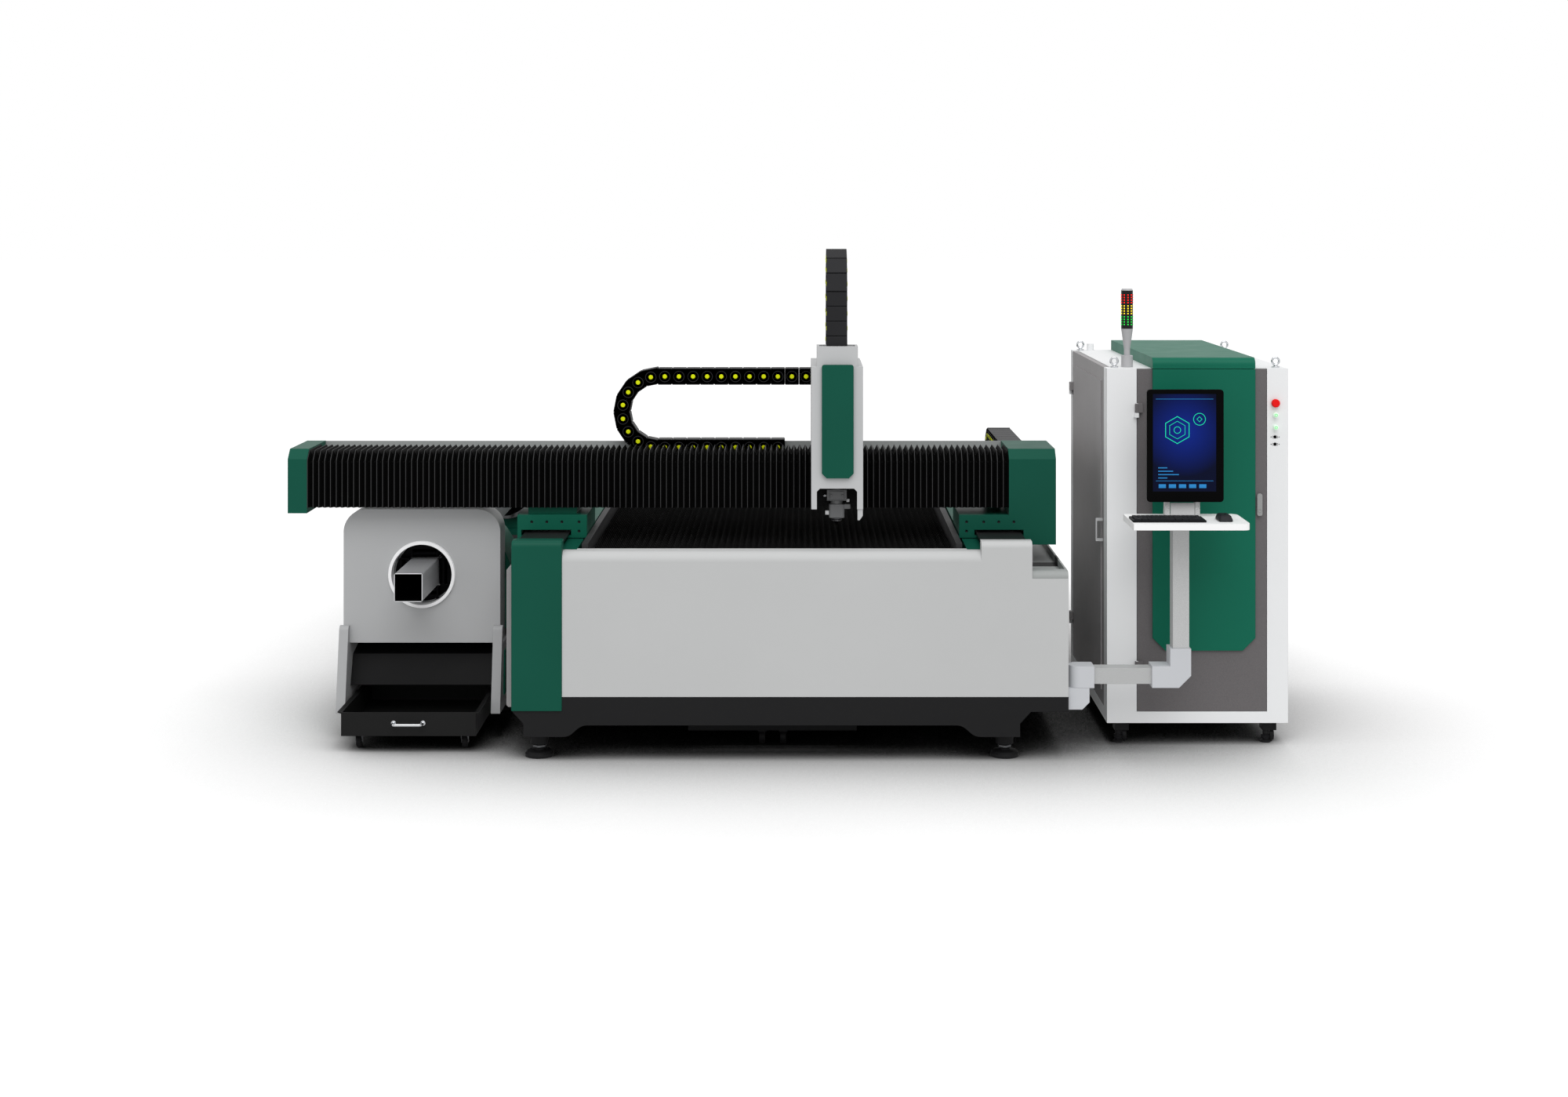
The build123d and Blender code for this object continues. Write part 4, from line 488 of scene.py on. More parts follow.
# Finishes
GREEN = (13, 80, 64)
CABINET_GREEN = (15, 102, 80)
BASE_BLACK = (30, 30, 31)
finishes = {
    "green": paint("green_powder_coat", GREEN, 0.42),
    "deep_green": paint("carriage_green_coat", (10, 88, 69), 0.45),
    "cabinet_green": paint("cabinet_green_coat", CABINET_GREEN, 0.4, 0.03),
    "white": paint("white_powder_coat", (192, 193, 193), 0.42, 0.015),
    "head_white": paint("head_white_coat", (190, 191, 192), 0.4, 0.015),
    "cabinet_white": paint("cabinet_white_coat", (236, 237, 238), 0.42, 0.012),
    "trolley_black": paint("trolley_black_coat", (28, 28, 28), 0.42),
    "chute_black": paint("chute_black_coat", (14, 14, 15), 0.5),
    "cart": paint("cart_black_coat", (24, 24, 25), 0.5),
    "strip_black": paint("strip_black_coat", (34, 34, 35), 0.4),
    "dark_grey": paint("dark_grey_coat", (92, 89, 90), 0.45, 0.03, fleck=0.25),
    # the panels that face the side take a lighter grey than the dark grey at the front: painted light
    # against the dim light on the sides
    "side_grey_painted_light": paint("side_grey_coat_painted_light", (160, 157, 158), 0.45, 0.03, fleck=0.25),
    "stand_grey": paint("stand_grey_coat", (206, 207, 207), 0.42, 0.02, fleck=0.35),
    "light_grey": paint("light_grey_coat", (158, 161, 160), 0.42, 0.02),
    "slat_grey": paint("slat_frame_coat", (52, 52, 53), 0.5),
    "hood_grey": paint("hood_silver_coat", (177, 178, 179), 0.38, 0.03, shine=0.3),
    "arm_grey": paint("arm_grey_coat", (196, 197, 197), 0.42, 0.02, fleck=0.3),
    "elbow_grey": paint("elbow_grey_coat", (198, 200, 204), 0.4, 0.02),
    "head_grey": paint("cutting_head_coat", (112, 113, 114), 0.4, 0.03, shine=0.3),
    "source_grey": paint("source_grey_coat", (205, 206, 206), 0.42),
    "latch_grey": paint("latch_grey_coat", (150, 151, 150), 0.35, shine=0.3),
    "foot": paint("foot_black_coat", (28, 28, 29), 0.45),
    "motor_black": paint("motor_black_coat", (26, 26, 28), 0.5),
    "slat_steel": metal("slat_steel", (8, 8, 8), 0.6, (0.2, 1, 1), 90, 0.15, 0.3, 0.3),
    "rail_steel": metal("rail_steel", (150, 152, 155), 0.25, (1, 0.02, 1), 200, 0.04),
    "tube_steel": metal("tube_steel", (150, 151, 153), 0.38, (1, 0.02, 1), 160, 0.07, 0.08, 0.35),
    "chuck_steel": metal("chuck_steel", (150, 151, 153), 0.32, (1, 1, 1), 60, 0.05),
    "bolt_steel": metal("bolt_steel", (96, 97, 99), 0.3, (1, 1, 1), 200, 0.03),
    "dark_steel": metal("dark_steel", (44, 44, 46), 0.35, (1, 1, 1), 120, 0.05),
    "chrome": metal("chrome", (215, 217, 220), 0.08, (1, 1, 1), 20, 0.01, 0.02),
    "cloth": moulded("bellows_cloth", (9, 9, 9), 0.6, 0.25, 0.12, 0.05),
    # the lighter grey on the folds' ridges is a painted highlight
    "cloth_ridge_highlight": moulded("bellows_ridge_highlight", (66, 66, 67), 0.45, 0.1, 0.08, 0.15),
    "chain": moulded("chain_plastic", (38, 38, 40), 0.42, 0.05),
    "yellow": moulded("yellow_plastic", (221, 232, 12), 0.4),
    "rubber": moulded("caster_rubber", (26, 26, 27), 0.6, 0.15),
    "lamp": moulded("lamp_shell", (176, 176, 178), 0.3, 0.02, shine=0.3),
    "red": moulded("red_button", (236, 8, 10), 0.35, 0.02, shine=0.2),
    "button_white": lit("button_lens", (226, 250, 230), 0.25),
    "button_green": lit("button_ring", (70, 214, 96), 0.5),
    "led_red": lit("lamp_red", (226, 24, 14), 1.4),
    "led_yellow": lit("lamp_yellow", (228, 200, 30), 1.4),
    "led_green": lit("lamp_green", (30, 190, 60), 1.4),
    "screen_teal": lit("screen_teal", (26, 190, 150), 0.55),
    "screen_line": lit("screen_line", (40, 120, 180), 0.4),
    "screen_black": moulded("screen_bezel", (7, 7, 7), 0.4, 0.01, shine=0.03),
    "white_plastic": moulded("white_plastic", (214, 215, 216), 0.4),
    "keys": moulded("key_plastic", (38, 39, 42), 0.45),
    "key_base": moulded("keyboard_shell", (20, 20, 22), 0.4),
    "port_black": moulded("port_plastic", (14, 14, 15), 0.3, shine=0.05),
}
finishes["bed"] = masked(paint("bed_two_tone", GREEN, 0.45), BASE_BLACK, {"Z": BASE_Z})
finishes["hood"] = masked(finishes["hood_grey"], (252, 252, 253), {"R": (0, SLEEVE_RADIUS)})
# the tube's bore is painted near-black: painted shade inside the tube; a lighter band lies at its front end
finishes["tube"] = masked(masked(
    finishes["tube_steel"], (226, 227, 229), {"Y": (TUBE_FRONT - 1, TUBE_FRONT + 0.5)}), (2, 2, 2),
    {"X": (TUBE_X - TUBE_INSIDE, TUBE_X + TUBE_INSIDE),
     "Z": (TUBE_Z - TUBE_INSIDE, TUBE_Z + TUBE_INSIDE)})
finishes["beam"] = masked(finishes["light_grey"], (13, 13, 14), {"Y": BEAM_FACE_Y})
# inside the head housing, behind its front sheet and between its side sheets, the white is painted
# near-black: painted shade
finishes["head"] = masked(finishes["head_white"], (7, 7, 8), {
    "X": (HEAD_LEFT + HEAD_SHEET - 0.1, HEAD_LEFT + HEAD_WIDE - HEAD_SHEET + 0.1),
    "Y": (HEAD_FRONT + HEAD_SHEET + 0.5, 400), "Z": (HEAD_BOTTOM - 1, HEAD_BOTTOM + 400)})
# the chucks' faces near the tube's axis are painted near-black: painted shade, as deep in the hood's opening
finishes["chuck"] = masked(finishes["chuck_steel"], (13, 13, 14), {"R": (0, CHUCK_DARK_RADIUS)})
finishes["cheeks"] = masked(masked(
    paint("cheek_white_coat", (172, 173, 174), 0.42, 0.02), CABINET_GREEN,
    {"X": (TUBE_X - CHEEK_OUT - 2 * PLATE_PROUD + 1, TUBE_X - CHEEK_OUT - 0.3)}), CABINET_GREEN,
    {"X": (TUBE_X + CHEEK_OUT + 0.3, TUBE_X + CHEEK_OUT + 2 * PLATE_PROUD - 1)})
finishes["door"] = masked(
    paint("door_two_tone", (108, 105, 106), 0.45, 0.03, fleck=0.25), CABINET_GREEN,
    {"X": (BAND_X[0] - 1, BAND_X[1] + 1), "Y": (CABINET_FRONT - 14, CABINET_FRONT + 0.6),
     "Z": BAND_Z})
# the side door takes the same lighter grey, as painted light on a side face
finishes["side_door"] = masked(
    paint("side_door_coat_painted_light", (160, 157, 158), 0.45, 0.03, fleck=0.25), (196, 197, 198),
    {"X": (CABINET_LEFT - 40, CABINET_LEFT + 0.4), "Y": SIDE_HANDLE_Y})
finishes["post"] = masked(masked(
    finishes["arm_grey"], (250, 250, 250), {"Z": TRAY_Z}),
    (196, 197, 197), {"Z": (TRAY_Z[1], TRAY_TOP + 200)}, 0.25)
finishes["arm"] = masked(paint("arm_two_tone", (198, 200, 204), 0.4, 0.02), (180, 181, 181),
                         {"X": ARM_TUBE_X}, 0.15)
finishes["signal"] = masked(finishes["lamp"], (10, 10, 11), {"Z": LAMP_BODY_Z})

FINISH_OF = {
    "bed_base": "bed", "levelling_feet": "foot", "front_panel": "white",
    "corner_cover": "green", "side_panel": "side_grey_painted_light", "chain_trough": "light_grey",
    "rear_panel": "white", "slat_frame": "slat_grey", "cutting_slats": "slat_steel",
    "scrap_hopper": "chute_black", "guide_rails": "rail_steel", "rail_covers": "strip_black",
    "tube_frame": "dark_grey", "tube_hood": "hood", "tube_cheeks": "cheeks",
    "outfeed_chute": "chute_black", "chuck_housing": "green", "cabinet_frame": "cabinet_white",
    "cabinet_panels": "side_grey_painted_light", "cabinet_roof": "cabinet_green", "lifting_eyes": "chrome",
    "signal_lamp": "signal", "cabinet_casters": "foot", "laser_source": "source_grey",
    "arm_base": "elbow_grey", "y_chain": "chain", "gantry_beam": "beam",
    "beam_end_cap": "green", "left_carriage": "deep_green", "right_bracket": "green",
    "y_drive_units": "motor_black", "bellows_left": "cloth", "bellows_right": "cloth",
    "x_chain": "chain", "head_housing": "head", "head_cover": "green", "z_chain": "chain",
    "cutting_head": "head_grey", "nozzle": "dark_steel", "front_chuck": "chuck",
    "feed_carriage": "green", "rear_chuck": "chuck", "workpiece_tube": "tube",
    "catch_tray": "trolley_black", "tray_handle": "chrome", "caster_fork_left": "rail_steel",
    "caster_fork_right": "rail_steel", "caster_wheel_left": "rubber",
    "caster_wheel_right": "rubber", "scrap_cart": "cart", "front_door": "door",
    "side_door": "side_door", "front_latch": "latch_grey", "e_stop": "red",
    "start_button": "button_white", "stop_button": "button_white", "swing_arm": "arm",
    "panel_post": "post", "monitor": "screen_black", "keyboard_set": "key_base",
}
for node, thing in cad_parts.items():
    thing.data.materials.clear()
    thing.data.materials.append(finishes[FINISH_OF[node]])


def fitted(thing, finish, body, *replaced):
    """A finished piece gets its finish and rides on its body, in place of the nodes named."""
    thing.data.materials.clear()
    thing.data.materials.append(finishes[finish])
    smooth(thing)
    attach(thing, body)
    if replaced:
        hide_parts(*replaced)
    return thing


def stretched(thing, still, moving, share, *replaced):
    """A piece that crosses a joint: share gives how far each of its points follows the mover.

    The blend is made first, between any two places, and its weights are then set point by point."""
    low, high = thing.data.vertices[0].co, thing.data.vertices[-1].co
    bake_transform(thing, still, moving, start=low, end=high + Vector((0.01, 0.01, 0.01)))
    weights = thing.data.attributes["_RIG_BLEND"].data
    for corner, weight in zip(thing.data.vertices, weights):
        weight.value = min(1.0, max(0.0, share(corner.co)))
    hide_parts(*replaced)


# Bellows: sharp pleats, with a lighter strip on each fold's ridge as a painted highlight
PLEAT = 25
# the width of each fold's flat ridge, which takes the painted highlight colour
HIGHLIGHT_RIDGE = 2.4
FRONT_FOLD = 17
TOP_FOLD = 23
SLOPE = 40
SLOPE_IN = 8  # how much less the slope is in a valley
CLOTH_THICK = 1.2
BACK_HEM = 20


def skin(name, rings):
    """A sheet through rings of bed places: a grid whose corners are set in turn."""
    deselect()
    across, along = len(rings) - 1, len(rings[0]) - 1
    bpy.ops.mesh.primitive_grid_add(x_subdivisions=across, y_subdivisions=along, size=2)
    thing = bpy.context.object
    thing.name = name
    for corner in thing.data.vertices:
        ring = round((corner.co.x + 1) / 2 * across)
        place = round((corner.co.y + 1) / 2 * along)
        corner.co = spot(*rings[ring][place])
    return thing


def pleated_bellows(node, head_end):
    """The bellows on one side of the head, which fold up as the head comes their way."""
    (left, right), (front, rear), (low, top) = span(node)
    count = round((right - left) / PLEAT)
    pitch = (right - left) / count

    def section(x, fold):
        """One ring of the bellows: fold runs from 0 on a ridge to 1 in a valley."""
        y, z = front + fold * FRONT_FOLD, top - fold * TOP_FOLD
        slope = SLOPE - fold * SLOPE_IN
        return [(x, y, low), (x, y, z - slope), (x, y + slope, z), (x, rear, z),
                (x, rear, z - BACK_HEM)]

    rings = [section(left + x, fold) for x, fold in
             ((0, 0), (HIGHLIGHT_RIDGE, 0), ((pitch + HIGHLIGHT_RIDGE) / 2, 1), (pitch, 0))]
    pleat = skin(node + "_pleats", rings)
    if pleat.data.polygons[0].normal.y > 0:
        bpy.ops.object.mode_set(mode="EDIT")
        bpy.ops.mesh.select_all(action="SELECT")
        bpy.ops.mesh.flip_normals()
        bpy.ops.object.mode_set(mode="OBJECT")
    pleat.data.materials.append(finishes["cloth"])
    pleat.data.materials.append(finishes["cloth_ridge_highlight"])
    highlight_end = spot(left + HIGHLIGHT_RIDGE, 0, 0).x
    # faces on each fold's flat ridge take the lighter colour: a painted highlight
    for face in pleat.data.polygons:
        face.material_index = 1 if face.center.x < highlight_end else 0
    repeated(pleat, count, (pitch, 0, 0))
    modify(pleat, "SOLIDIFY", thickness=CLOTH_THICK * MM, offset=-1)
    still, moving = (left, right) if head_end == "right" else (right, left)
    start, reach = spot(still, 0, 0).x, (moving - still) * MM
    stretched(pleat, "gantry", "x_carriage", lambda place: (place.x - start) / reach, node)


pleated_bellows("bellows_left", "right")
pleated_bellows("bellows_right", "left")

# Drag chains: hollow links with round pivot plates and a yellow button on each pivot
LINK = 62.8
LINK_HIGH = 73
LINK_GAP = 0.4
LINK_EDGE = 3
TUNNEL_WALL = 5
PIVOT_RADIUS = 25
BUTTON_RADIUS = 10
BRACKET_HALF = 32
X_FIXED, Y_FIXED, Z_FIXED = 51, 1200, 1628.3  # where each chain's fixed run ends


def chain_link(wide, bend=0.0):
    """One link about the bed's origin, lying along X, its tunnel open at both ends.

    A link of the bend is longer on its outer side and shorter on its inner side."""
    half, deep, high = LINK / 2 - LINK_GAP, wide / 2, LINK_HIGH / 2
    body = slab("link", (-half, half), (-deep, deep), (-high, high))
    for side in (-1, 1):
        choose_faces(body, lambda place, normal: normal.z * side > 0.9)
        bpy.ops.transform.resize(value=(1 + side * bend, 1, 1), center_override=spot(0, 0, 0))
        bpy.ops.object.mode_set(mode="OBJECT")
    choose_edges(body, lambda place, way: abs(way.y) > 0.9)
    bpy.ops.mesh.bevel(offset=LINK_EDGE * MM, segments=1)
    inset(body, lambda place, normal: abs(normal.x) > 0.95, TUNNEL_WALL)
    choose_faces(body, lambda place, normal: abs(normal.x) > 0.95 and abs(place.z) < 0.02)
    bpy.ops.mesh.bridge_edge_loops()
    bpy.ops.object.mode_set(mode="OBJECT")
    plate = stick("pivot_plate", (0, -deep - 0.5, 0), (0, 1, 0), PIVOT_RADIUS, wide + 1, sides=20)
    inset(plate, lambda place, normal: abs(normal.y) > 0.9, 3, -0.5)
    return joined("link", [body, plate])


def pivot_button(wide):
    """A domed yellow button through the link, showing on both sides."""
    button = stick("button", (0, -wide / 2 - 2, 0), (0, 1, 0), BUTTON_RADIUS, wide + 4, sides=16)
    return rounded(button, 1.5, 1)


def link_places(centre, run, up, moving_reach, fixed_reach, radius):
    """A move for each link of a chain: the moving run, round the bend, and the fixed run."""
    run, up = Vector(run), Vector(up)
    places = []
    for reach, side in ((moving_reach, 1), (fixed_reach, -1)):
        for number in range(int(reach // LINK)):
            places.append((run * (number + 0.5) * LINK + up * side * radius, run, up * side))
    count = round(math.pi * radius / LINK)
    for number in range(count):
        angle = (number + 0.5) * math.pi / count
        out = up * math.cos(angle) - run * math.sin(angle)
        places.append((out * radius, run * math.cos(angle) + up * math.sin(angle), out))
    moves = []
    zero = spot(0, 0, 0)
    for place, along, outward in places:
        side = outward.cross(along)
        turn = Matrix((along, side, outward)).transposed().to_4x4()
        moves.append(Matrix.Translation(spot(*centre) + place * MM) @ turn
                     @ Matrix.Translation(-zero))
    return moves


def lay_chain(node, centre, run, up, moving_reach, fixed_reach, radius, wide, still, moving):
    """A drag chain with its end brackets, its links and its buttons.

    The last two links at the moving end are plain."""
    moves = link_places(centre, run, up, moving_reach, fixed_reach, radius)
    run, up, bend = Vector(run), Vector(up), Vector(centre)
    moving_links = int(moving_reach // LINK)
    straight = moving_links + int(fixed_reach // LINK)
    links = [copied(node + "_run", chain_link(wide), moves[:straight]),
             copied(node + "_bend", chain_link(wide, LINK_HIGH / 2 / radius), moves[straight:])]
    for reach, side in ((moving_reach, 1), (fixed_reach, -1)):
        start = reach // LINK * LINK
        if reach - start > 8:
            across = up.cross(run)
            near, far = up * side * (radius - BRACKET_HALF), up * side * (radius + BRACKET_HALF)
            first = bend + run * (start + 1) + near - across * wide / 2
            last = bend + run * reach + far + across * wide / 2
            bracket = slab(node + "_bracket", *[sorted(pair) for pair in zip(first, last)])
            links.append(rounded(bracket, 3, 2))
    buttons = copied(node + "_buttons", pivot_button(wide),
                     moves[:moving_links - 2] + moves[moving_links:])
    chain = joined(node + "_links", links)
    origin = spot(*centre)

    def share(place):
        """Half way round the bend, none at the fixed end and all at the moving end."""
        along = max(0.0, (place - origin).dot(run)) / MM
        if (place - origin).dot(up) > 0:
            return 0.5 + 0.5 * along / moving_reach
        return 0.5 - 0.5 * along / fixed_reach

    for piece, finish in ((chain, "chain"), (buttons, "yellow")):
        piece.data.materials.clear()
        piece.data.materials.append(finishes[finish])
        smooth(piece)
        stretched(piece, still, moving, share, node)


(left, right), deep, (low, high) = span("x_chain")
X_RADIUS = (high - low - LINK_HIGH) / 2
X_BEND = left + X_RADIUS + LINK_HIGH / 2
lay_chain("x_chain", (X_BEND, middle(deep), (low + high) / 2), (1, 0, 0), (0, 0, 1),
          right - X_BEND, X_FIXED - X_BEND, X_RADIUS, deep[1] - deep[0], "gantry", "x_carriage")
wide, (front, rear), (low, high) = span("y_chain")
Y_BEND = rear - X_RADIUS - LINK_HIGH / 2
lay_chain("y_chain", (middle(wide), Y_BEND, (low + high) / 2), (0, -1, 0), (0, 0, 1),
          Y_BEND - front, Y_BEND - Y_FIXED, X_RADIUS, wide[1] - wide[0], "root", "gantry")
wide, (front, rear), (low, high) = span("z_chain")
Z_RADIUS = (rear - front - LINK_HIGH) / 2
Z_BEND = high - Z_RADIUS - LINK_HIGH / 2
lay_chain("z_chain", (middle(wide), (front + rear) / 2, Z_BEND), (0, 0, -1), (0, -1, 0),
          Z_BEND - low, Z_BEND - Z_FIXED, Z_RADIUS, wide[1] - wide[0], "x_carriage", "z_slide")

# Toothed slats, closer together than the ones that carry the load in the frame
(left, right), (front, rear), (low, high) = span("cutting_slats")
TEETH = 55
TOOTH = (right - left) / TEETH
TOOTH_HIGH = 24
TIP_HALF = 1.5
SLAT_STEP = 50
SLAT_THICK = 3
tip = left + TOOTH / 2
tooth = drawn("tooth", [(left, front, low), (left + TOOTH, front, low),
                        (left + TOOTH, front, high - TOOTH_HIGH), (tip + TIP_HALF, front, high),
                        (tip - TIP_HALF, front, high), (left, front, high - TOOTH_HIGH)],
              (0, SLAT_THICK, 0))
choose_faces(tooth, lambda place, normal: abs(normal.x) > 0.9)
bpy.ops.mesh.delete(type="FACE")
bpy.ops.object.mode_set(mode="OBJECT")
slats = repeated(repeated(tooth, TEETH, (TOOTH, 0, 0)), int((rear - front) // SLAT_STEP) + 1,
                 (0, SLAT_STEP, 0))
slats.name = "toothed_slats"
fitted(slats, "slat_steel", "root", "cutting_slats")

# Signal lamp: small square lenses in rings round the black body, a band for each colour
LAMP_X, LAMP_Y = (middle(limits) for limits in span("signal_lamp")[:2])
LAMP_LOW = CABINET_TOP + 182
LENS = 5
LENS_STEP = 11
LENS_ROWS = 4
LENS_COLUMNS = 10
COLOUR_STEP = 47
for row, finish in enumerate(("led_green", "led_yellow", "led_red")):
    low = LAMP_LOW + row * COLOUR_STEP
    lens = slab("lamp_" + finish, (LAMP_X - LENS / 2, LAMP_X + LENS / 2),
                (LAMP_Y - 26.3, LAMP_Y - 23), (low, low + LENS))
    inset(lens, lambda place, normal: normal.y < -0.9, 0.8, 0.4)
    moves = [about((LAMP_X, LAMP_Y, 0), (0, 0, 1), column * math.tau / LENS_COLUMNS)
             @ raised(step * LENS_STEP)
             for column in range(LENS_COLUMNS) for step in range(LENS_ROWS)]
    fitted(copied("lamp_" + finish, lens, moves), finish, "root")

# Monitor: glowing picture with its signs, and the plate between the tray's two lugs
MONITOR = span("monitor")
SCREEN_X = (MONITOR[0][0] + 25, MONITOR[0][1] - 31)
SCREEN_Z = (MONITOR[2][0] + 44, MONITOR[2][1] - 18)
SCREEN_Y = 15.2
SIGN_Y = (SCREEN_Y - 0.9, SCREEN_Y - 0.1)  # signs lie just in front of the picture


def screen_finish():
    """A deep blue screen that glows toward its middle, with a faint net of dots."""
    finish, nodes, links, shader = material("screen_picture")
    parts = nodes.new("ShaderNodeSeparateXYZ")
    links.new(place_on_piece(nodes), parts.inputs["Vector"])
    centre = spot(middle(SCREEN_X), 0, SCREEN_Z[0] + 250)
    flat = nodes.new("ShaderNodeCombineXYZ")
    across = math_node(nodes, links, "SUBTRACT", parts.outputs["X"], centre.x)
    upward = math_node(nodes, links, "SUBTRACT", parts.outputs["Z"], centre.z)
    links.new(across, flat.inputs["X"])
    links.new(upward, flat.inputs["Z"])
    reach = nodes.new("ShaderNodeVectorMath")
    reach.operation = "LENGTH"
    links.new(flat.outputs["Vector"], reach.inputs[0])
    glow = ramp(nodes, links, reach.outputs["Value"], 0.0, 0.19)
    shade = mixed(nodes, links, glow, linear((7, 30, 112)), linear((1, 5, 30)))
    dots = nodes.new("ShaderNodeTexVoronoi")
    dots.inputs["Scale"].default_value = 95.0
    dots.inputs["Randomness"].default_value = 0.0
    links.new(place_on_piece(nodes), dots.inputs["Vector"])
    spark = ramp(nodes, links, dots.outputs["Distance"], 0.12, 0.2, 0.5, 0.0)
    shade = mixed(nodes, links, spark, shade, linear((40, 130, 200)))
    links.new(shade, shader.inputs["Base Color"])
    links.new(shade, shader.inputs["Emission Color"])
    shader.inputs["Emission Strength"].default_value = 0.55
    shader.inputs["Roughness"].default_value = 0.25
    shader.inputs["Specular IOR Level"].default_value = 0.1
    return finish


finishes["screen"] = screen_finish()
picture = slab("screen_picture", SCREEN_X, (SCREEN_Y, SCREEN_Y + 2), SCREEN_Z)
inset(picture, lambda place, normal: normal.y < -0.9, 3, -0.4)
fitted(picture, "screen", "monitor")


def outline_cut(x, z, corners, size, thick):
    """A closed cut path on the screen: a plain many-sided ring."""
    ring = stick("cut_path", (x, SIGN_Y[0], z), (0, 1, 0), size, 0.8, sides=corners)
    inset(ring, lambda place, normal: abs(normal.y) > 0.9, thick)
    choose_faces(ring, lambda place, normal: abs(normal.y) > 0.9
                 and (place - spot(x, SCREEN_Y - 0.5, z)).length < 0.001)
    bpy.ops.mesh.bridge_edge_loops()
    bpy.ops.object.mode_set(mode="OBJECT")
    return ring


PLATE_AT = (middle(SCREEN_X) - 30, SCREEN_Z[0] + 255)
WASHER_AT = (middle(SCREEN_X) + 62, SCREEN_Z[0] + 300)
CUTS = ((PLATE_AT, 6, 58, 3), (PLATE_AT, 6, 38, 2), (PLATE_AT, 24, 15, 2.5),
        (WASHER_AT, 24, 26, 2.5), (WASHER_AT, 4, 12, 2))  # place, corners, radius, thickness
paths = [outline_cut(*place, corners, size, thick) for place, corners, size, thick in CUTS]
fitted(joined("screen_cut_paths", paths), "screen_teal", "monitor")
BAR_STEP = 14
TILE_STEP = 42
bars = []
for row in range(4):
    low = SCREEN_Z[0] + 96 - row * BAR_STEP
    bar = slab("screen_bar", (SCREEN_X[0] + 22, SCREEN_X[0] + 60 + row % 3 * 24), SIGN_Y,
               (low, low + 4))
    bars.append(rounded(bar, 1, 1))
for column in range(5):
    x = SCREEN_X[0] + 24 + column * TILE_STEP
    tile = slab("screen_tile", (x, x + 30), SIGN_Y, (SCREEN_Z[0] + 14, SCREEN_Z[0] + 30))
    bars.append(rounded(tile, 4, 2))
for drop in (22, 362):
    bars.append(slab("screen_rule", (SCREEN_X[0] + 12, SCREEN_X[1] - 12), SIGN_Y,
                     (SCREEN_Z[1] - drop, SCREEN_Z[1] - drop + 1.6)))
fitted(joined("screen_readouts", bars), "screen_line", "monitor")
stand = slab("stand_plate", (POST_X - 40, POST_X + 60), (44, 47.5), (TRAY_TOP - 1, TRAY_TOP + 56))
fitted(rounded(stand, 1), "stand_grey", "panel_post")

# Keyboard and mouse
KEYS_X, KEYS_Y = span("keyboard_set")[:2]
BOARD_X = (KEYS_X[0], KEYS_X[0] + 300)
KEY_STEP = 18.4
KEY_GAP = 2.6
board = slab("keyboard_shell", BOARD_X, (KEYS_Y[0], KEYS_Y[0] + 118), (TRAY_TOP - 0.5, TRAY_TOP + 9))
rounded(board, 3)
inset(board, lambda place, normal: normal.z > 0.9, 4, -1.2)
fitted(board, "key_base", "panel_post", "keyboard_set")
caps = []
for row in range(5):
    depth = KEYS_Y[0] + 13 + row * KEY_STEP
    widths = [1] * 15 if row else [1.5, 1.5, 6, 1.5, 1.5, 3]
    x = BOARD_X[0] + 11
    for width in widths:
        reach = width * KEY_STEP - KEY_GAP
        cap = slab("key", (x, x + reach), (depth, depth + KEY_STEP - KEY_GAP),
                   (TRAY_TOP + 6, TRAY_TOP + 13 + row * 0.6))
        caps.append(inset(cap, lambda place, normal: normal.z > 0.9, 2.2, -0.7))
        x += width * KEY_STEP
fitted(joined("keyboard_keys", caps), "keys", "panel_post")
mouse = slab("mouse", (KEYS_X[1] - 62, KEYS_X[1]), (KEYS_Y[0] + 8, KEYS_Y[0] + 110),
             (TRAY_TOP - 0.5, TRAY_TOP + 27))
choose_faces(mouse, lambda place, normal: normal.z > 0.9)
bpy.ops.transform.resize(value=(0.72, 0.7, 1),
                         center_override=spot(KEYS_X[1] - 31, KEYS_Y[0] + 66, TRAY_TOP))
bpy.ops.object.mode_set(mode="OBJECT")
rounded(mouse, 9, 4)
fitted(mouse, "keys", "panel_post")
wheel = stick("mouse_wheel", (KEYS_X[1] - 34, KEYS_Y[0] + 42, TRAY_TOP + 22), (1, 0, 0),
              radius=7, length=6)
inset(wheel, lambda place, normal: abs(normal.x) < 0.5, 0.6, -0.5)
fitted(wheel, "port_black", "panel_post")

# Cutting head: ports, plugs and hose block on its grey body, and the nozzle's rings
HEAD_LOW = span("cutting_head")[2][0]
port = stick("gas_port", (HEAD_X - 44, NOZZLE_Y - 20, HEAD_LOW + 94), (-1, 0, 0),
             radius=9, length=14, sides=20)
inset(port, lambda place, normal: normal.x < -0.9, 3, -5)
fitted(port, "chuck_steel", "z_slide")
plug = slab("sensor_plug", (HEAD_X - 49, HEAD_X - 33), (NOZZLE_Y - 30, NOZZLE_Y - 12),
            (HEAD_LOW + 13, HEAD_LOW + 30))
fitted(rounded(plug, 1.5), "white_plastic", "z_slide")
grip = slab("lens_drawer", (HEAD_X + 41, HEAD_X + 54), (NOZZLE_Y - 30, NOZZLE_Y + 10),
            (HEAD_LOW + 67, HEAD_LOW + 80))
fitted(rounded(grip, 1.5), "white_plastic", "z_slide")
hose = slab("hose_block", (HEAD_X + 30, HEAD_X + 58), (NOZZLE_Y - 28, NOZZLE_Y + 12),
            (HEAD_LOW + 37, HEAD_LOW + 57))
fitted(rounded(hose, 2), "head_grey", "z_slide")
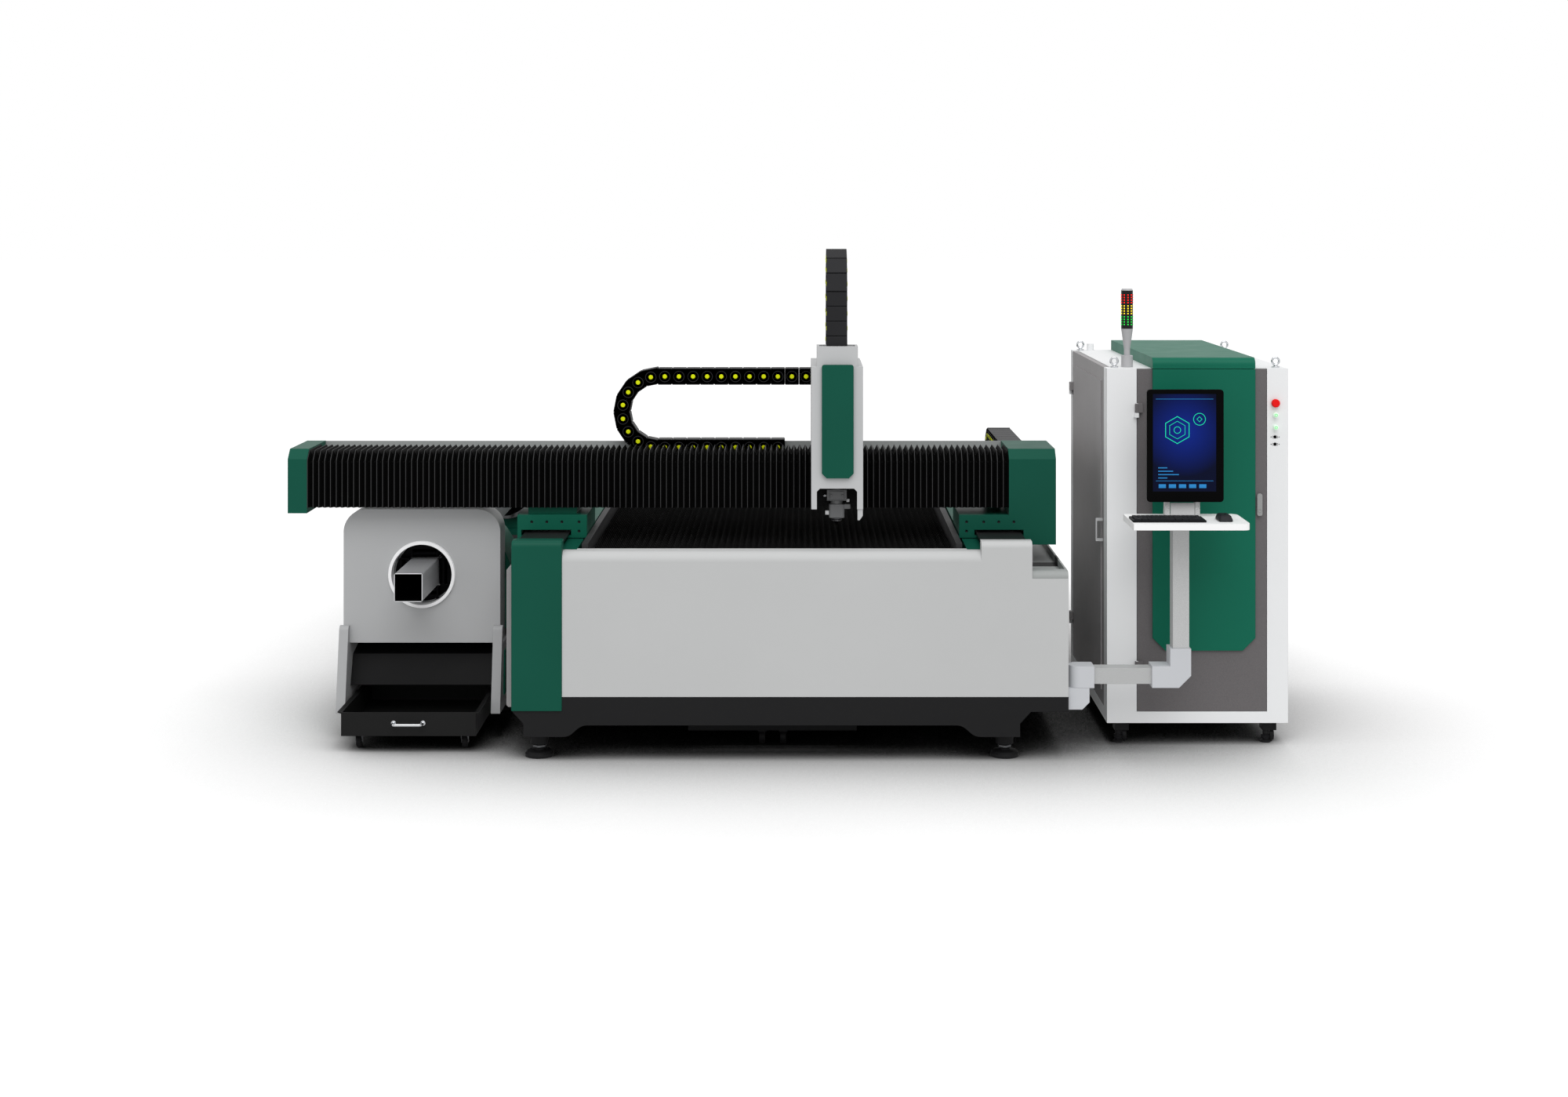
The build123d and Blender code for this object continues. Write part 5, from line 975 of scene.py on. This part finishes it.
door = slab("lens_door", (HEAD_X - 30, HEAD_X + 30), (NOZZLE_Y - 45, NOZZLE_Y - 42),
            (HEAD_LOW + 80, HEAD_LOW + 114))
inset(door, lambda place, normal: normal.y < -0.9, 3, -1)
knobs = [stick("door_screw", (HEAD_X + x, NOZZLE_Y - 48, HEAD_LOW + 97), (0, 1, 0),
               radius=5, length=4) for x in (-24, 24)]
fitted(joined("lens_door", [door, *knobs]), "head_grey", "z_slide")
rings = [hoop("nozzle_ring", (HEAD_X, NOZZLE_Y, HEAD_LOW + z), (0, 0, 1),
              radius=20, thick=1.6) for z in (-6, -14)]
fitted(joined("nozzle_rings", rings), "chuck_steel", "z_slide")


def cap_screw(place, axis, radius=5.4, high=5):
    """A socket cap screw standing on a place."""
    head = stick("cap_screw", place, axis, radius, high, sides=16)
    axis = Vector(axis).normalized()
    inset(head, lambda centre, normal: normal.dot(axis) > 0.9, radius * 0.45, -high * 0.6)
    return head


def row_of(name, finish, body, pieces):
    """Like pieces on one body as one mesh."""
    return fitted(joined(name, pieces), finish, body)


# Screws in the front holes of the gantry's feet
SCREW_STEP = 65
SCREW_Z = 940
LOW_SCREW_Z = 900
for node, side, screw_in in (("left_carriage", -1, 34), ("right_bracket", 1, 32)):
    limits, (face, _) = span(node)[:2]
    inner = limits[1] - screw_in if side < 0 else limits[0] + screw_in
    spots = [(side * RAIL_X + x, SCREW_Z) for x in (-SCREW_STEP, 0, SCREW_STEP)]
    spots += [(inner, SCREW_Z), (inner, LOW_SCREW_Z)]
    row_of(node + "_screws", "dark_steel", "gantry",
           [cap_screw((x, face + 5.5, z), (0, -1, 0)) for x, z in spots])

# Rings of the cabinet's buttons, its data sockets and the lock in its latch
SOCKETS_Z = (1316, 1285)
SOCKET_HALF = (11, 4.5)
SOCKET_SCREW = 17
for node in ("start_button", "stop_button"):
    _, (face, _), height = span(node)
    ring = hoop(node + "_ring", (BUTTON_X, face - 0.2, middle(height)), (0, 1, 0),
                radius=5.2, thick=1.1)
    fitted(ring, "button_green", node)
sockets, screws = [], []
for z in SOCKETS_Z:
    wide, high = SOCKET_HALF
    shell = slab("socket", (BUTTON_X - wide, BUTTON_X + wide),
                 (CABINET_FRONT - 1.6, CABINET_FRONT + 4), (z - high, z + high))
    sockets.append(inset(shell, lambda place, normal: normal.y < -0.9, 2, -3))
    screws += [cap_screw((BUTTON_X + x, CABINET_FRONT, z), (0, -1, 0), radius=2, high=1.2)
               for x in (-SOCKET_SCREW, SOCKET_SCREW)]
row_of("data_sockets", "port_black", "root", sockets)
row_of("socket_screws", "dark_steel", "root", screws)
across, (face, _), (low, _) = span("front_latch")
lock = stick("latch_lock", (middle(across), face, low + 22), (0, -1, 0), radius=7, length=1.6,
             sides=20)
inset(lock, lambda place, normal: normal.y < -0.9, 3.5, -1)
fitted(lock, "latch_grey", "front_latch")

# Ribbed wheels that raise the cabinet off its casters
(left, right), (front, rear) = span("cabinet_casters")[:2]
CASTER_HALF = 38
wheels = []
for x in (left + CASTER_HALF, right - CASTER_HALF):
    for y in (front + CASTER_HALF, rear - CASTER_HALF):
        wheel = stick("lift_wheel", (x - 14, y - 10, 16), (0, 0, 1), radius=17.4, length=16)
        wheels.append(inset(wheel, lambda place, normal: abs(normal.z) < 0.5, 0.8, -1.6))
row_of("lift_wheels", "dark_steel", "root", wheels)

# Lock nuts on the machine's feet, and locks on the doors along its side
FOOT_IN = 100
nuts = []
for x in (-RAIL_X, RAIL_X):
    for y in (FOOT_IN, span("bed_base")[1][1] - FOOT_IN):
        nut = stick("foot_nut", (x, y, 34), (0, 0, 1), radius=30, length=13, sides=6)
        nuts.append(rounded(nut, 1.5, 1))
row_of("foot_nuts", "bolt_steel", "root", nuts)
(face, _), (_, rear) = span("side_panel")[:2]
DOORS = 4
DOOR_START = 120
DOOR_STEP = (rear - DOOR_START - 10) / DOORS
FIRST_LOCK, LAST_LOCK = 34, DOOR_STEP - 134
LOCK_Z = 500
locks = []
for number in range(DOORS):
    for reach in (FIRST_LOCK, LAST_LOCK):
        y = DOOR_START + number * DOOR_STEP + reach
        lock = stick("door_lock", (face + 4, y, LOCK_Z), (-1, 0, 0), radius=13, length=3.5)
        locks.append(inset(lock, lambda place, normal: normal.x < -0.9, 7, -1.5))
row_of("side_door_locks", "bolt_steel", "root", locks)

# Round bosses of the tray handle, and the hubs of the trolley's front wheels
BAR = 6
(left, right), (_, rear), height = span("tray_handle")
bosses = []
for x in (left + BAR, right - BAR):
    boss = stick("handle_boss", (x, rear, middle(height)), (0, -1, 0), radius=11, length=5)
    bosses.append(rounded(boss, 1.5, 2))
row_of("handle_bosses", "chrome", "trolley", bosses)
for label in ("left", "right"):
    (left, right), depth, height = span("caster_wheel_" + label)
    hub = stick("caster_hub", (left - 0.4, middle(depth), middle(height)), (1, 0, 0),
                radius=12, length=right - left + 0.8, sides=20)
    inset(hub, lambda place, normal: abs(normal.x) > 0.9, 3, -1)
    fitted(hub, "bolt_steel", "wheel_" + label)


# Camera, light and floor, in metres
CAMERA_X = 0.061
CAMERA_BACK = 8.5
CAMERA_HIGH = 2.295
FLOOR_DROP = 0.0005  # the floor lies just under the feet


def place_camera():
    """The camera of the photograph: level, straight ahead, with the lens shifted down."""
    deselect()
    bpy.ops.object.camera_add(location=(CAMERA_X, BED_Y - CAMERA_BACK, CAMERA_HIGH),
                              rotation=(math.radians(90), 0, 0))
    camera = bpy.context.object
    camera.data.lens = 47.07
    camera.data.sensor_width = 36
    camera.data.shift_x = -0.01
    camera.data.shift_y = -0.21725
    camera.data.clip_end = 200
    bpy.context.scene.camera = camera


def camera_share(nodes):
    """One for what the camera sees itself, none for the light that the floor or sky sends on."""
    return nodes.new("ShaderNodeLightPath").outputs["Is Camera Ray"]


def lay_floor():
    """A pale plain floor that keeps the soft shadow, with painted shade from ambient occlusion under and
    around the machine.
    """
    deselect()
    bpy.ops.mesh.primitive_plane_add(size=120, location=(0, 20, -FLOOR_DROP))
    floor = bpy.context.object
    floor.name = "floor"
    finish, nodes, links, shader = material("floor_white")
    # painted shade: what the camera sees of the floor darkens where ambient occlusion finds the machine near
    near = nodes.new("ShaderNodeAmbientOcclusion")
    near.samples = 8
    near.inputs["Distance"].default_value = 1.6
    open_sky = ramp(nodes, links, near.outputs["AO"], 0.12, 0.95)
    seen = mixed(nodes, links, open_sky, [0.01, 0.01, 0.01, 1], [1.0, 1.0, 1.0, 1])
    shade = mixed(nodes, links, camera_share(nodes), [0.6, 0.6, 0.6, 1], seen)
    links.new(shade, shader.inputs["Base Color"])
    shader.inputs["Roughness"].default_value = 1.0
    shader.inputs["Specular IOR Level"].default_value = 0.0
    floor.data.materials.append(finish)


def light_world():
    """White behind the machine, and an even soft sky for the rest."""
    world = bpy.data.worlds.new("studio")
    world.use_nodes = True
    bpy.context.scene.world = world
    nodes, links = world.node_tree.nodes, world.node_tree.links
    back = nodes["Background"]
    back.inputs["Color"].default_value = (1, 1, 1, 1)
    back.inputs["Strength"].default_value = 1.0
    sky = nodes.new("ShaderNodeBackground")
    sky.inputs["Color"].default_value = (1, 1, 1, 1)
    sky.inputs["Strength"].default_value = 0.8
    mix = nodes.new("ShaderNodeMixShader")
    links.new(camera_share(nodes), mix.inputs["Fac"])
    links.new(sky.outputs["Background"], mix.inputs[1])
    links.new(back.outputs["Background"], mix.inputs[2])
    links.new(mix.outputs["Shader"], nodes["World Output"].inputs["Surface"])


def hang_light():
    """One broad soft light, high in front of the machine."""
    deselect()
    bpy.ops.object.light_add(type="SUN", location=(0, -4, 8))
    light = bpy.context.object
    light.name = "ceiling_light"
    light.data.energy = 1.3
    light.data.angle = math.radians(50)
    light.rotation_euler = Vector((-0.06, 0.6, -0.8)).to_track_quat("-Z", "Y").to_euler()


bpy.context.scene.view_settings.view_transform = "Standard"
place_camera()
lay_floor()
light_world()
hang_light()
